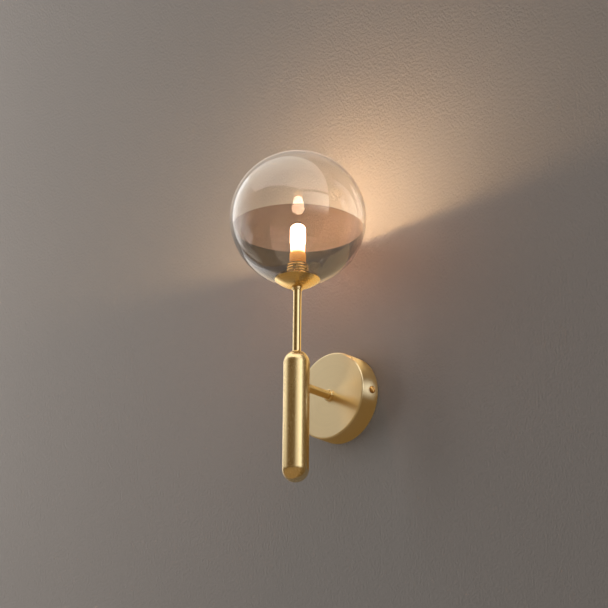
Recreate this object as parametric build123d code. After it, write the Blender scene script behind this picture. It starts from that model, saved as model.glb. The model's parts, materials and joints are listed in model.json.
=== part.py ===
from build123d import *
import math
import os

# A wall light in the shape of a torch: a round plate carries an arm, the arm carries a long
# capsule, and a stem on the capsule carries a dish, a lamp and a glass globe.
# Millimetres. The origin is where the plate's axis meets the wall. X runs along the wall,
# Y runs into the wall and Z runs up, so the light stands out towards -Y.

# Wall plate
PLATE_R = 50.0
PLATE_DEPTH = 25.4
SHEET = 1.2
PLATE_EDGE_R = 1.0

# Torch axis and arm
ARM_LENGTH = 54.7
TORCH_Y = -(PLATE_DEPTH + ARM_LENGTH)
TUBE_R = 4.75
TUBE_BORE_R = 3.4
THREAD_R = 4.0
THREAD_HOLE_R = 4.1
NIPPLE_BORE_R = 2.7
TAPPED_DEPTH = 14.0
COLLAR_R = 6.75
COLLAR_STEP_R = 5.9
COLLAR_WIDTH = 2.2
COLLAR_STEP_WIDTH = 1.4
COLLAR_CHAMFER = 0.4
FERRULE_R = 5.75
FERRULE_WIDTH = 1.3
FERRULE_CHAMFER = 0.3
ROD_GRIP = 12.0
FRONT_ROD_GRIP = 10.0
ROD_END = 1.1
SADDLE_R = 7.0
SADDLE_DEPTH = 11.0

# Capsule
CAPSULE_R = 14.67
CAPSULE_LOW_Z = -98.5
CAPSULE_HIGH_Z = 23.9
CAP_BORE_R = 10.5
CAP_BORE_DEPTH = 6.0
CAP_SPIGOT = 8.0
CAP_ROOF = 4.0
STEM_SEAT = 1.6

# Stem, dish and threaded sleeve
STEM_TOP_Z = 110.5
STEM_COLLAR_R = 6.45
STEM_COLLAR_STEP = 1.2
DISH_R = 25.7
DISH_RIM_Z = 123.4
DISH_DEPTH = 10.3
DISH_FLAT_R = 8.0
SLEEVE_R = 12.0
SLEEVE_ROOT_R = 11.35
SLEEVE_BORE_R = 10.4
SLEEVE_TOP_Z = 142.0
SLEEVE_ROOF = 1.5
THREAD_PITCH = 3.0
THREAD_TURNS = 7
THREAD_FLANK = 0.6
THREAD_FIRST = 2.0

# Globe
GLOBE_R = 77.4
GLOBE_Z = 197.4
GLASS = 2.6
NECK_R = 12.5
LIP_R = 16.5
LIP_TOP_Z = 127.0
COAT_EDGE_Z = 184.9
COAT = 0.2
COAT_GAP = 0.05
SEAL_R = 19.0
SEAL_BORE_R = 14.0
RUNNING_GAP = 0.35

# Lampholder and lamp
HOLDER_R = 9.2
HOLDER_Z = 144.0
HOLDER_TOP_Z = 155.0
HOLDER_FLOOR = 2.5
HOLDER_CHAMFER = 0.7
HOLDER_BORE_R = 7.6
BUSH_R = 5.8
BUSH_SPIGOT_R = 4.8
BUSH_ROLL = 0.8
BUSH_ROLL_HEIGHT = 0.6
BUSH_CHAMFER = 0.3
CHAMBER_Z = 148.6
CHAMBER_TOP_Z = 153.5
CHAMBER_HALF_X = 2.1
CHAMBER_HALF_Y = 2.7
PIN_SLOT_HALF_X = 0.95
PIN_SLOT_HALF_Y = 1.8
PIN_X = 4.5
PIN_SIDES = (-PIN_X, PIN_X)
PIN_WIRE_R = 0.45
PIN_HALF_WIDTH = 0.85
PIN_LOW_Z = 149.3
PIN_ROOT = 2.2
LEAF = 0.4
LEAF_GAP = 0.8
LEAF_HALF_WIDTH = 1.5
TAIL_X = 0.9
LAMP_LOW_Z = 155.3
LAMP_SEAM_Z = 168.0
LAMP_TOP_Z = 189.8
LAMP_BODY_R = 7.9
LAMP_BODY_BORE_R = 6.7
LAMP_BODY_FLOOR = 1.8
LAMP_BODY_ROUND = 1.0
DIFFUSER_R = 8.65
DIFFUSER_WALL = 1.0
DIFFUSER_ROUND = 6.4875
DIFFUSER_INSIDE_ROUND = 5.4
DIFFUSER_CHAMFER = 0.4
DIFFUSER_SPIGOT = 1.5
DRIVER_Z = LAMP_LOW_Z + 2.5
DRIVER_HEIGHT = 9.0
DRIVER_HALF_WIDTH = 5.4
CAPACITOR_R = 1.8
CAPACITOR_LENGTH = 6.0
COIL_HEIGHT = 4.0
LED_BOARD_Z = LAMP_LOW_Z + 11.7
LED_BOARD_TOP_Z = LAMP_TOP_Z - 4.5
LED_BOARD_HALF_WIDTH = 4.0
EMITTER_ROWS = 4
EMITTER_PITCH = 3.8
EMITTER_X = 1.9
EMITTER_HALF = 1.1

# Bracket, terminal block and wires
BRACKET = 2.0
STRAP_HALF_LENGTH = 47.6
STRAP_HALF_WIDTH = 8.0
BRACKET_BEND_R = 1.8
LUG_DEPTH = 17.0
SIDE_SCREW_Y = -10.0
SIDE_SCREW_LENGTH = 5.4
SIDE_HEAD_R = 4.0
SIDE_HEAD = 2.6
SIDE_HEAD_ROUND = 2.0
SIDE_SLOT = (1.0, 1.1)
SLOT_SPACING = 60.0
SLOT_LENGTH = 12.0
SLOT_HALF_WIDTH = 2.5
TAB_HALF_WIDTH = 16.0
TAB_TOP_Z = 39.0
TAB_CORNER_R = 3.0
BUSH_HOLE_R = 7.0
BUSH_FLANGE = 1.5
BUSH_FLANGE_RIM = 2.0
CABLE_R = 4.0
M4_R = 2.0
M3_R = 1.5
SCREW_PLAY = 0.1
SCREW_SLOT = 0.9
EARTH_X = 17.0
EARTH_HEAD_R = 3.7
EARTH_HEAD = 2.4
EARTH_WASHER = 0.6
EARTH_WASHER_R = 3.9
WASHER_TEETH = 12
EARTH_TAG = 0.8
EARTH_TAG_R = 3.6
TAG_HALF_WIDTH = 1.6
BARREL_R = 1.8
BARREL_LOW_Z = 5.0
BARREL_HIGH_Z = 10.5
BLOCK_HALF_LENGTH = 15.0
BLOCK_LOW_Z = 20.0
BLOCK_HIGH_Z = 36.0
BLOCK_MIDDLE_Z = (BLOCK_LOW_Z + BLOCK_HIGH_Z) / 2
BLOCK_DEPTH = 12.0
BLOCK_ROUND = 1.2
BLOCK_GROOVE = 2.5
BLOCK_GROOVE_HALF_WIDTH = 2.7
BLOCK_HEAD_R = 2.5
BLOCK_HEAD = 1.8
WAY_PITCH = 10.0
WAYS_X = (-WAY_PITCH, 0.0, WAY_PITCH)
WAY_MOUTH_R = 2.0
WAY_Y = -8.5
INSERT_R = 2.5
INSERT_BORE_R = 1.6
INSERT_END = 1.5
CLAMP_Z = (24.5, 31.5)
CLAMP_LENGTH = 3.4
CLAMP_SLOT = (0.6, 0.8)
WIRE_R = 1.1
WIRE_X = 1.25
WIRE_BEND_R = 6.0
WIRE_FIRST_BEND_R = 7.0
WIRE_TURN_Z = 15.0
WIRE_INSERTED = 1.5
EARTH_WIRE_BEND_R = 3.4
EARTH_WIRE_Z = (6.0, 13.0, 17.0)

# Hexagon nuts on the hollow threads
NUT_FLATS = 13.0
NUT = 3.5
NUT_CHAMFER = 0.6
WASHER_R = 8.5

# Places that follow from the sizes above
PLATE_INSIDE_Y = -PLATE_DEPTH + SHEET
REAR_NUT_Y = PLATE_INSIDE_Y + SHEET
CAPSULE_BORE_R = CAPSULE_R - SHEET
CAPSULE_BACK_Y = TORCH_Y + CAPSULE_R
ARM_END_Y = TORCH_Y + 8.0
STEM_LOW_Z = CAPSULE_HIGH_Z + CAPSULE_R - STEM_SEAT
CAP_ROOF_Z = STEM_LOW_Z - CAP_ROOF
DISH_SPHERE_R = (DISH_R**2 + DISH_DEPTH**2) / (2 * DISH_DEPTH)
DISH_CENTRE_Z = DISH_RIM_Z - DISH_DEPTH + DISH_SPHERE_R
DISH_FLAT_Z = DISH_CENTRE_Z - math.sqrt(DISH_SPHERE_R**2 - DISH_FLAT_R**2)
DISH_INSIDE_R = DISH_SPHERE_R - SHEET
HOLDER_FLOOR_Z = HOLDER_Z + HOLDER_FLOOR
TAIL_Z = CHAMBER_Z - 1.0


def rod_z(radius, low, high, x=0.0, y=TORCH_Y):
    """Round bar along Z, on the torch's axis unless x and y say otherwise."""
    return Pos(x, y, (low + high) / 2) * Cylinder(radius, high - low)


def tube_z(outer, inner, low, high):
    """Tube on the torch's axis."""
    return rod_z(outer, low, high) - rod_z(inner, low - 1, high + 1)


def rod_y(radius, front, back, x=0.0, z=0.0):
    """Round bar along Y, on the arm's axis unless x and z say otherwise."""
    return Pos(x, (front + back) / 2, z) * Rot(90, 0, 0) * Cylinder(radius, back - front)


def tube_y(outer, inner, front, back):
    """Tube on the arm's axis."""
    return rod_y(outer, front, back) - rod_y(inner, front - 1, back + 1)


def block(x, y, z):
    """Box between two limits along each axis."""
    centre = [(low + high) / 2 for low, high in (x, y, z)]
    size = [high - low for low, high in (x, y, z)]
    return Pos(*centre) * Box(*size)


def ball(radius, z):
    """Ball centred on the torch's axis."""
    return Pos(0, TORCH_Y, z) * Sphere(radius)


def spun(*lines):
    """Turn a closed outline of radius and height about the torch's axis."""
    return Pos(0, TORCH_Y, 0) * revolve(Plane.XZ * make_face(Curve() + list(lines)), Axis.Z)


def spun_on_arm(*points):
    """Turn a closed outline of radius and depth about the arm's axis."""
    return revolve(make_face(Polyline(*points, close=True)), Axis.Y)


def hexagon_nut():
    """Thin nut that lies on the XY plane, with its corners turned off."""
    corner_r = NUT_FLATS / math.sqrt(3)
    prism = extrude(RegularPolygon(NUT_FLATS / 2, 6, major_radius=False), NUT)
    turned = Pos(0, 0, NUT / 2) * Cylinder(corner_r, NUT)
    turned = chamfer(turned.edges().filter_by(GeomType.CIRCLE), NUT_CHAMFER)
    return (prism & turned) - Pos(0, 0, NUT / 2) * Cylinder(THREAD_R, NUT + 2)


def nut_z(low):
    """Nut on the torch's axis."""
    return Pos(0, TORCH_Y, low) * hexagon_nut()


def nut_y(back):
    """Nut on the arm's axis, with two corners up and down."""
    return Pos(0, back, 0) * Rot(90, 0, 0) * Rot(0, 0, 30) * hexagon_nut()


def nipple_z(low, high):
    """Hollow threaded rod on the torch's axis."""
    return tube_z(THREAD_R, NIPPLE_BORE_R, low, high)


def pan_screw(shank_r, length, head_r, head):
    """Slotted screw along Z: the shank ends at the origin and the head is on top."""
    shank = Pos(0, 0, length / 2) * Cylinder(shank_r, length)
    dome = Pos(0, 0, length + head / 2) * Cylinder(head_r, head)
    dome = fillet(dome.edges().group_by(Axis.Z)[-1], head * 0.45)
    slot = Pos(0, 0, length + head) * Box(2 * head_r + 1, SCREW_SLOT, head)
    return shank + (dome - slot)


def faces_front(shape, x, y, z):
    """Turn a piece made along Z so that its top looks towards -Y, and place it."""
    return Pos(x, y, z) * Rot(90, 0, 0) * shape


def backplate_cup():
    corner = PLATE_EDGE_R * math.sqrt(0.5)
    front = -PLATE_DEPTH
    outline = [
        Line((0, front), (PLATE_R - PLATE_EDGE_R, front)),
        ThreePointArc(
            (PLATE_R - PLATE_EDGE_R, front),
            (PLATE_R - PLATE_EDGE_R + corner, front + PLATE_EDGE_R - corner),
            (PLATE_R, front + PLATE_EDGE_R),
        ),
        Polyline(
            (PLATE_R, front + PLATE_EDGE_R),
            (PLATE_R, 0),
            (PLATE_R - SHEET, 0),
            (PLATE_R - SHEET, front + SHEET),
            (0, front + SHEET),
            (0, front),
        ),
    ]
    cup = revolve(make_face(Curve() + outline), Axis.Y)
    cup -= rod_y(THREAD_HOLE_R, front - 1, front + SHEET + 1)
    cup -= Pos(0, SIDE_SCREW_Y, 0) * Rot(0, 90, 0) * Cylinder(M4_R + SCREW_PLAY, 2 * PLATE_R + 2)
    return cup


def side_screws():
    """Domed screws that hold the plate to the bracket's two lugs."""
    slot_width, slot_depth = SIDE_SLOT
    head = Pos(0, 0, SIDE_HEAD / 2) * Cylinder(SIDE_HEAD_R, SIDE_HEAD)
    head = fillet(head.edges().group_by(Axis.Z)[-1], SIDE_HEAD_ROUND)
    head -= Pos(0, 0, SIDE_HEAD) * Box(2 * SIDE_HEAD_R + 1, slot_width, 2 * slot_depth)
    screw = head + Pos(0, 0, -SIDE_SCREW_LENGTH / 2) * Cylinder(M4_R, SIDE_SCREW_LENGTH)
    screw = Rot(0, 0, 30) * screw
    right = Pos(PLATE_R, SIDE_SCREW_Y, 0) * Rot(0, 90, 0) * screw
    left = Pos(-PLATE_R, SIDE_SCREW_Y, 0) * Rot(0, -90, 0) * screw
    return Compound([right.solid(), left.solid()])


def wall_bracket():
    """Steel strap with two bent lugs, a tab for the terminal block and two wall slots."""
    reach = STRAP_HALF_LENGTH
    width = STRAP_HALF_WIDTH
    strap = block((-reach, reach), (-BRACKET, 0), (-width, width))
    tab = block((-TAB_HALF_WIDTH, TAB_HALF_WIDTH), (-BRACKET, 0), (0, TAB_TOP_Z))
    bracket = strap + tab
    for side in (-1, 1):
        inner, outer = sorted((side * (reach - BRACKET), side * reach))
        bracket += block((inner, outer), (-LUG_DEPTH, 0), (-width, width))
        slot = extrude(SlotOverall(SLOT_LENGTH, 2 * SLOT_HALF_WIDTH), BRACKET + 2)
        bracket -= faces_front(slot, side * SLOT_SPACING / 2, 1, 0)
        bracket -= rod_y(M3_R, -BRACKET - 1, 1, side * WAY_PITCH / 2, BLOCK_MIDDLE_Z)
    bracket -= Pos(0, SIDE_SCREW_Y, 0) * Rot(0, 90, 0) * Cylinder(M4_R, 2 * reach + 2)
    bracket -= rod_y(BUSH_HOLE_R, -BRACKET - 1, 1)
    bracket -= rod_y(M4_R, -BRACKET - 1, 1, EARTH_X)
    bends = bracket.edges().filter_by(Axis.Z).filter_by_position(Axis.Y, -0.01, 0.01)
    bends = bends.filter_by(lambda edge: abs(abs(edge.center().X) - reach) < 0.01)
    bracket = fillet(bends, BRACKET_BEND_R)
    corners = bracket.edges().filter_by(Axis.Y).group_by(Axis.Z)[-1]
    return fillet(corners, TAB_CORNER_R)


def cable_bush():
    """Rubber bush that lines the bracket's cable hole."""
    rim_r = BUSH_HOLE_R + BUSH_FLANGE_RIM
    front = -BRACKET - BUSH_FLANGE
    edge = 0.5
    return spun_on_arm(
        (CABLE_R, 0),
        (BUSH_HOLE_R, 0),
        (BUSH_HOLE_R, -BRACKET),
        (rim_r, -BRACKET),
        (rim_r, front + edge),
        (rim_r - edge, front),
        (CABLE_R + edge, front),
        (CABLE_R, front + edge),
    )


def earth_screw():
    length = BRACKET + EARTH_TAG + EARTH_WASHER
    return faces_front(pan_screw(M4_R, length, EARTH_HEAD_R, EARTH_HEAD), EARTH_X, 0, 0)


def earth_washer():
    """Toothed washer under the earth screw's head."""
    back = -BRACKET - EARTH_TAG
    washer = rod_y(EARTH_WASHER_R, back - EARTH_WASHER, back, EARTH_X)
    washer -= rod_y(M4_R + SCREW_PLAY, back - 2, back + 1, EARTH_X)
    notch = Pos(EARTH_WASHER_R, 0, 0) * Box(1.2, 3, 0.6)
    for tooth in range(WASHER_TEETH):
        washer -= Pos(EARTH_X, back, 0) * Rot(0, tooth * 360 / WASHER_TEETH, 0) * notch
    return washer


def earth_ring_terminal():
    """Crimped ring that joins the earth wire to the bracket."""
    front = -BRACKET - EARTH_TAG
    tongue = (EARTH_X - TAG_HALF_WIDTH, EARTH_X + TAG_HALF_WIDTH)
    ring = rod_y(EARTH_TAG_R, front, -BRACKET, EARTH_X)
    ring += block(tongue, (front, -BRACKET), (M4_R + 0.5, BARREL_HIGH_Z))
    barrel_y = -BRACKET - BARREL_R
    ring += rod_z(BARREL_R, BARREL_LOW_Z, BARREL_HIGH_Z, EARTH_X, barrel_y)
    ring -= rod_y(M4_R + SCREW_PLAY, front - 1, 0, EARTH_X)
    ring -= rod_z(WIRE_R, BARREL_LOW_Z - 1, BARREL_HIGH_Z + 1, EARTH_X, barrel_y)
    return ring


def terminal_block():
    """Moulded strip with three ways, open at both ends and towards the screwdriver."""
    front = -BRACKET - BLOCK_DEPTH
    length = (-BLOCK_HALF_LENGTH, BLOCK_HALF_LENGTH)
    past_ends = (BLOCK_LOW_Z - 1, BLOCK_HIGH_Z + 1)
    body = block(length, (front, -BRACKET), (BLOCK_LOW_Z, BLOCK_HIGH_Z))
    body = fillet(body.edges().filter_by(Axis.Z).group_by(Axis.Y)[0], BLOCK_ROUND)
    for middle in (-WAY_PITCH / 2, WAY_PITCH / 2):
        groove = (middle - BLOCK_GROOVE_HALF_WIDTH, middle + BLOCK_GROOVE_HALF_WIDTH)
        body -= block(groove, (front - 1, front + BLOCK_GROOVE), past_ends)
        body -= rod_y(M3_R + SCREW_PLAY, front - 1, 0, middle, BLOCK_MIDDLE_Z)
    for x in WAYS_X:
        body -= rod_z(WAY_MOUTH_R, *past_ends, x, WAY_Y)
        body -= rod_z(INSERT_R, BLOCK_LOW_Z + INSERT_END, BLOCK_HIGH_Z - INSERT_END, x, WAY_Y)
        for z in CLAMP_Z:
            body -= rod_y(M3_R + 2 * SCREW_PLAY, front - 1, WAY_Y, x, z)
    return body


def terminal_inserts():
    """Brass tubes that clamp the wires, one to each way."""
    low, high = BLOCK_LOW_Z + INSERT_END, BLOCK_HIGH_Z - INSERT_END
    tubes = []
    for x in WAYS_X:
        tube = rod_z(INSERT_R, low, high, x, WAY_Y)
        tube -= rod_z(INSERT_BORE_R, low - 1, high + 1, x, WAY_Y)
        for z in CLAMP_Z:
            tube -= rod_y(M3_R, WAY_Y - INSERT_R - 1, WAY_Y, x, z)
        tubes.append(tube.solid())
    return Compound(tubes)


def terminal_screws():
    """Headless clamp screws, two to each way."""
    slot_width, slot_depth = CLAMP_SLOT
    tip = WAY_Y - WIRE_R - 0.05
    top = tip - CLAMP_LENGTH
    screws = []
    for x in WAYS_X:
        for z in CLAMP_Z:
            screw = rod_y(M3_R, top, tip, x, z)
            slot = (z - slot_width / 2, z + slot_width / 2)
            screw -= block((x - 2, x + 2), (top - 1, top + slot_depth), slot)
            screws.append(screw.solid())
    return Compound(screws)


def block_screws():
    """Screws that hold the terminal block to the bracket's tab."""
    length = BRACKET + BLOCK_DEPTH - BLOCK_GROOVE
    screw = pan_screw(M3_R, length, BLOCK_HEAD_R, BLOCK_HEAD)
    places = (-WAY_PITCH / 2, WAY_PITCH / 2)
    return Compound([faces_front(screw, x, 0, BLOCK_MIDDLE_Z).solid() for x in places])


def wire(points, radii):
    """Insulated wire along straight runs joined by round bends."""
    route = FilletPolyline(*points, radius=radii)
    section = Plane(origin=route @ 0, z_dir=route % 0) * Circle(WIRE_R)
    swept = sweep(section, path=route)
    expected = math.pi * WIRE_R**2 * route.length
    print("wire length", round(route.length, 1), "volume ratio", round(swept.volume / expected, 4))
    return swept


def earth_lead():
    barrel_y = -BRACKET - BARREL_R
    start_z, first_z, second_z = EARTH_WIRE_Z
    points = [
        (EARTH_X, barrel_y, start_z),
        (EARTH_X, barrel_y, first_z),
        (WAY_PITCH, WAY_Y, second_z),
        (WAY_PITCH, WAY_Y, CLAMP_Z[0] + WIRE_INSERTED),
    ]
    return wire(points, [EARTH_WIRE_BEND_R, EARTH_WIRE_BEND_R])


def lamp_lead(side, way_x):
    """Wire from the terminal block through the arm, capsule and stem to the lampholder."""
    x = side * WIRE_X
    points = [
        (way_x, WAY_Y, CLAMP_Z[0] + WIRE_INSERTED),
        (way_x, WAY_Y, WIRE_TURN_Z),
        (x, WAY_Y, 0),
        (x, TORCH_Y, 0),
        (x, TORCH_Y, TAIL_Z),
    ]
    return wire(points, [WIRE_FIRST_BEND_R, WIRE_BEND_R, WIRE_BEND_R])


def lead_live():
    return lamp_lead(-1, -WAY_PITCH)


def lead_neutral():
    return lamp_lead(1, 0.0)


def capsule_bar(radius):
    """Round bar that stands for the capsule's outside or its bore."""
    return rod_z(radius, CAPSULE_LOW_Z, CAPSULE_HIGH_Z)


def arm_tube():
    """Tube from the plate to the capsule, tapped at both ends and cut to the capsule's curve."""
    arm = tube_y(TUBE_R, TUBE_BORE_R, ARM_END_Y, -PLATE_DEPTH)
    arm -= rod_y(THREAD_R, -PLATE_DEPTH - TAPPED_DEPTH, 0)
    arm -= rod_y(THREAD_R, TORCH_Y, CAPSULE_BACK_Y + TAPPED_DEPTH)
    return arm - capsule_bar(CAPSULE_R)


def arm_collar():
    """Stepped ring where the arm meets the plate."""
    face = -PLATE_DEPTH
    step = face - COLLAR_WIDTH
    end = step - COLLAR_STEP_WIDTH
    return spun_on_arm(
        (TUBE_R, face),
        (COLLAR_R, face),
        (COLLAR_R, step + COLLAR_CHAMFER),
        (COLLAR_R - COLLAR_CHAMFER, step),
        (COLLAR_STEP_R, step),
        (COLLAR_STEP_R, end + COLLAR_CHAMFER),
        (COLLAR_STEP_R - COLLAR_CHAMFER, end),
        (TUBE_R, end),
    )


def arm_ferrule():
    """Thin ring where the arm meets the capsule."""
    ring = tube_y(FERRULE_R, TUBE_R, ARM_END_Y, CAPSULE_BACK_Y + FERRULE_WIDTH)
    outer_edge = ring.edges().filter_by(GeomType.CIRCLE).group_by(Axis.Y)[-1][-1]
    ring = chamfer(outer_edge, FERRULE_CHAMFER)
    return ring - capsule_bar(CAPSULE_R)


def arm_rear_nipple():
    return tube_y(THREAD_R, NIPPLE_BORE_R, -PLATE_DEPTH - ROD_GRIP, REAR_NUT_Y + NUT + ROD_END)


def arm_washer():
    return tube_y(WASHER_R, THREAD_HOLE_R, PLATE_INSIDE_Y, REAR_NUT_Y)


def arm_nut():
    return nut_y(REAR_NUT_Y + NUT)


def arm_front_nipple():
    front = TORCH_Y + SADDLE_DEPTH - NUT - ROD_END
    return tube_y(THREAD_R, NIPPLE_BORE_R, front, CAPSULE_BACK_Y + FRONT_ROD_GRIP)


def saddle_washer():
    """Washer with one flat face and one face that fits the capsule's bore."""
    washer = tube_y(SADDLE_R, THREAD_HOLE_R, TORCH_Y + SADDLE_DEPTH, CAPSULE_BACK_Y)
    return washer & capsule_bar(CAPSULE_BORE_R)


def capsule_nut():
    return nut_y(TORCH_Y + SADDLE_DEPTH)


def capsule_tube():
    tube = capsule_bar(CAPSULE_R) - capsule_bar(CAPSULE_BORE_R)
    return tube - rod_y(THREAD_HOLE_R, TORCH_Y, 0)


def capsule_top_cap():
    """Turned dome with a spigot that plugs the tube, bored for the stem."""
    above = rod_z(CAPSULE_R, CAPSULE_HIGH_Z, CAPSULE_HIGH_Z + 2 * CAPSULE_R)
    dome = ball(CAPSULE_R, CAPSULE_HIGH_Z) & above
    dome += rod_z(CAPSULE_BORE_R, CAPSULE_HIGH_Z - CAP_SPIGOT, CAPSULE_HIGH_Z)
    dome -= rod_z(CAP_BORE_R, CAPSULE_HIGH_Z - CAP_SPIGOT - 1, CAP_ROOF_Z)
    dome -= rod_z(THREAD_HOLE_R, 0, STEM_TOP_Z)
    return dome - rod_z(TUBE_R, STEM_LOW_Z, STEM_TOP_Z)


def capsule_bottom_cap():
    """Turned dome with a spigot that plugs the tube's lower end."""
    below = rod_z(CAPSULE_R, CAPSULE_LOW_Z - 2 * CAPSULE_R, CAPSULE_LOW_Z)
    dome = ball(CAPSULE_R, CAPSULE_LOW_Z) & below
    dome += rod_z(CAPSULE_BORE_R, CAPSULE_LOW_Z, CAPSULE_LOW_Z + CAP_SPIGOT)
    bore_end = CAPSULE_LOW_Z - CAP_BORE_DEPTH
    return dome - rod_z(CAP_BORE_R, bore_end, CAPSULE_LOW_Z + CAP_SPIGOT + 1)


def stem_tube():
    stem = tube_z(TUBE_R, TUBE_BORE_R, STEM_LOW_Z, STEM_TOP_Z)
    stem -= rod_z(THREAD_R, STEM_LOW_Z - 1, STEM_LOW_Z + TAPPED_DEPTH)
    return stem - rod_z(THREAD_R, STEM_TOP_Z - TAPPED_DEPTH, STEM_TOP_Z + 1)


def stem_lower_nipple():
    return nipple_z(CAP_ROOF_Z - NUT - ROD_END, STEM_LOW_Z + ROD_GRIP)


def stem_nut():
    return nut_z(CAP_ROOF_Z - NUT)


def globe_nipple():
    return nipple_z(STEM_TOP_Z - ROD_GRIP, HOLDER_Z + 1.5)


def stem_collar():
    """Turned ring between the stem and the dish."""
    return spun(
        Polyline(
            (THREAD_R, STEM_TOP_Z),
            (COLLAR_STEP_R - COLLAR_CHAMFER, STEM_TOP_Z),
            (COLLAR_STEP_R, STEM_TOP_Z + COLLAR_CHAMFER),
            (COLLAR_STEP_R, STEM_TOP_Z + STEM_COLLAR_STEP),
            (STEM_COLLAR_R, STEM_TOP_Z + STEM_COLLAR_STEP + COLLAR_CHAMFER),
            (STEM_COLLAR_R, DISH_FLAT_Z),
            (THREAD_R, DISH_FLAT_Z),
            close=True,
        )
    )


def below_centre(radius, sphere_r):
    """Height of the dish's outer or inner sphere at a radius from the torch's axis."""
    return DISH_CENTRE_Z - math.sqrt(sphere_r**2 - radius**2)


def globe_dish():
    """Shallow spun bowl with a flat seat at its centre."""
    inner_rim_r = math.sqrt(DISH_INSIDE_R**2 - (DISH_CENTRE_Z - DISH_RIM_Z) ** 2)
    middle = (DISH_FLAT_R + DISH_R) / 2
    floor_z = DISH_FLAT_Z + SHEET
    floor_r = math.sqrt(DISH_INSIDE_R**2 - (DISH_CENTRE_Z - floor_z) ** 2)
    outline = [
        Line((THREAD_HOLE_R, DISH_FLAT_Z), (DISH_FLAT_R, DISH_FLAT_Z)),
        ThreePointArc(
            (DISH_FLAT_R, DISH_FLAT_Z),
            (middle, below_centre(middle, DISH_SPHERE_R)),
            (DISH_R, DISH_RIM_Z),
        ),
        Line((DISH_R, DISH_RIM_Z), (inner_rim_r, DISH_RIM_Z)),
        ThreePointArc(
            (inner_rim_r, DISH_RIM_Z),
            (middle, below_centre(middle, DISH_INSIDE_R)),
            (floor_r, floor_z),
        ),
        Line((floor_r, floor_z), (THREAD_HOLE_R, floor_z)),
        Line((THREAD_HOLE_R, floor_z), (THREAD_HOLE_R, DISH_FLAT_Z)),
    ]
    return spun(*outline)


def dish_nut():
    return nut_z(DISH_FLAT_Z + SHEET)


def gallery_sleeve():
    """Threaded cup, open downwards, that the globe's neck screws on to."""
    flank = THREAD_FLANK
    outline = [(THREAD_HOLE_R, SLEEVE_TOP_Z), (SLEEVE_ROOT_R - flank, SLEEVE_TOP_Z)]
    outline.append((SLEEVE_ROOT_R, SLEEVE_TOP_Z - flank))
    for turn in range(THREAD_TURNS):
        start = SLEEVE_TOP_Z - THREAD_FIRST - turn * THREAD_PITCH
        outline.append((SLEEVE_ROOT_R, start))
        outline.append((SLEEVE_R, start - flank))
        outline.append((SLEEVE_R, start - 2 * flank))
        outline.append((SLEEVE_ROOT_R, start - 3 * flank))
    outline.append((SLEEVE_ROOT_R, DISH_FLAT_Z))
    outline.append((SLEEVE_BORE_R, DISH_FLAT_Z))
    outline.append((SLEEVE_BORE_R, SLEEVE_TOP_Z - SLEEVE_ROOF))
    outline.append((THREAD_HOLE_R, SLEEVE_TOP_Z - SLEEVE_ROOF))
    sleeve = spun(Polyline(*outline, close=True))
    return sleeve & ball(DISH_INSIDE_R, DISH_CENTRE_Z)


def glass_globe():
    """Blown ball with a thick-lipped neck at the bottom."""
    outside = ball(GLOBE_R, GLOBE_Z)
    lip = rod_z(LIP_R, GLOBE_Z - GLOBE_R - 1, LIP_TOP_Z) & outside
    globe = (outside - ball(GLOBE_R - GLASS, GLOBE_Z)) + lip
    return globe - rod_z(NECK_R, GLOBE_Z - GLOBE_R - 1, LIP_TOP_Z + 1)


def mirror_coat():
    """Thin metallic film on the inside of the globe's lower part."""
    outer = GLOBE_R - GLASS - COAT_GAP
    film = ball(outer, GLOBE_Z) - ball(outer - COAT, GLOBE_Z)
    film &= rod_z(GLOBE_R, GLOBE_Z - GLOBE_R, COAT_EDGE_Z)
    return film - rod_z(LIP_R + 0.5, GLOBE_Z - GLOBE_R - 1, GLOBE_Z)


def globe_seal():
    """Soft ring between the dish and the glass, shaped to both."""
    ring = tube_z(SEAL_R, SEAL_BORE_R, DISH_FLAT_Z, LIP_TOP_Z)
    ring &= ball(DISH_INSIDE_R - RUNNING_GAP, DISH_CENTRE_Z)
    return ring - ball(GLOBE_R + RUNNING_GAP, GLOBE_Z)


def lampholder_bush():
    """Threaded bush whose upper end is rolled over inside the lampholder's floor."""
    rolled_r = BUSH_SPIGOT_R + BUSH_ROLL
    rolled_z = HOLDER_FLOOR_Z + BUSH_ROLL_HEIGHT
    return spun(
        Polyline(
            (THREAD_R, SLEEVE_TOP_Z),
            (BUSH_R - BUSH_CHAMFER, SLEEVE_TOP_Z),
            (BUSH_R, SLEEVE_TOP_Z + BUSH_CHAMFER),
            (BUSH_R, HOLDER_Z),
            (BUSH_SPIGOT_R, HOLDER_Z),
            (BUSH_SPIGOT_R, HOLDER_FLOOR_Z),
            (rolled_r, HOLDER_FLOOR_Z),
            (rolled_r, rolled_z),
            (THREAD_R, rolled_z),
            close=True,
        )
    )


def lampholder_body():
    """Ceramic body with a wiring space, two contact chambers and two pin slots."""
    body = rod_z(HOLDER_R, HOLDER_Z, HOLDER_TOP_Z)
    body = chamfer(body.edges().filter_by(GeomType.CIRCLE), HOLDER_CHAMFER)
    body -= rod_z(BUSH_SPIGOT_R, HOLDER_Z - 1, HOLDER_FLOOR_Z)
    body -= rod_z(HOLDER_BORE_R, HOLDER_FLOOR_Z, CHAMBER_Z)
    for x in PIN_SIDES:
        chamber_x = (x - CHAMBER_HALF_X, x + CHAMBER_HALF_X)
        chamber_y = (TORCH_Y - CHAMBER_HALF_Y, TORCH_Y + CHAMBER_HALF_Y)
        body -= block(chamber_x, chamber_y, (CHAMBER_Z - 1, CHAMBER_TOP_Z))
        slot_x = (x - PIN_SLOT_HALF_X, x + PIN_SLOT_HALF_X)
        slot_y = (TORCH_Y - PIN_SLOT_HALF_Y, TORCH_Y + PIN_SLOT_HALF_Y)
        body -= block(slot_x, slot_y, (CHAMBER_Z, HOLDER_TOP_Z + 1))
    return body


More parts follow.
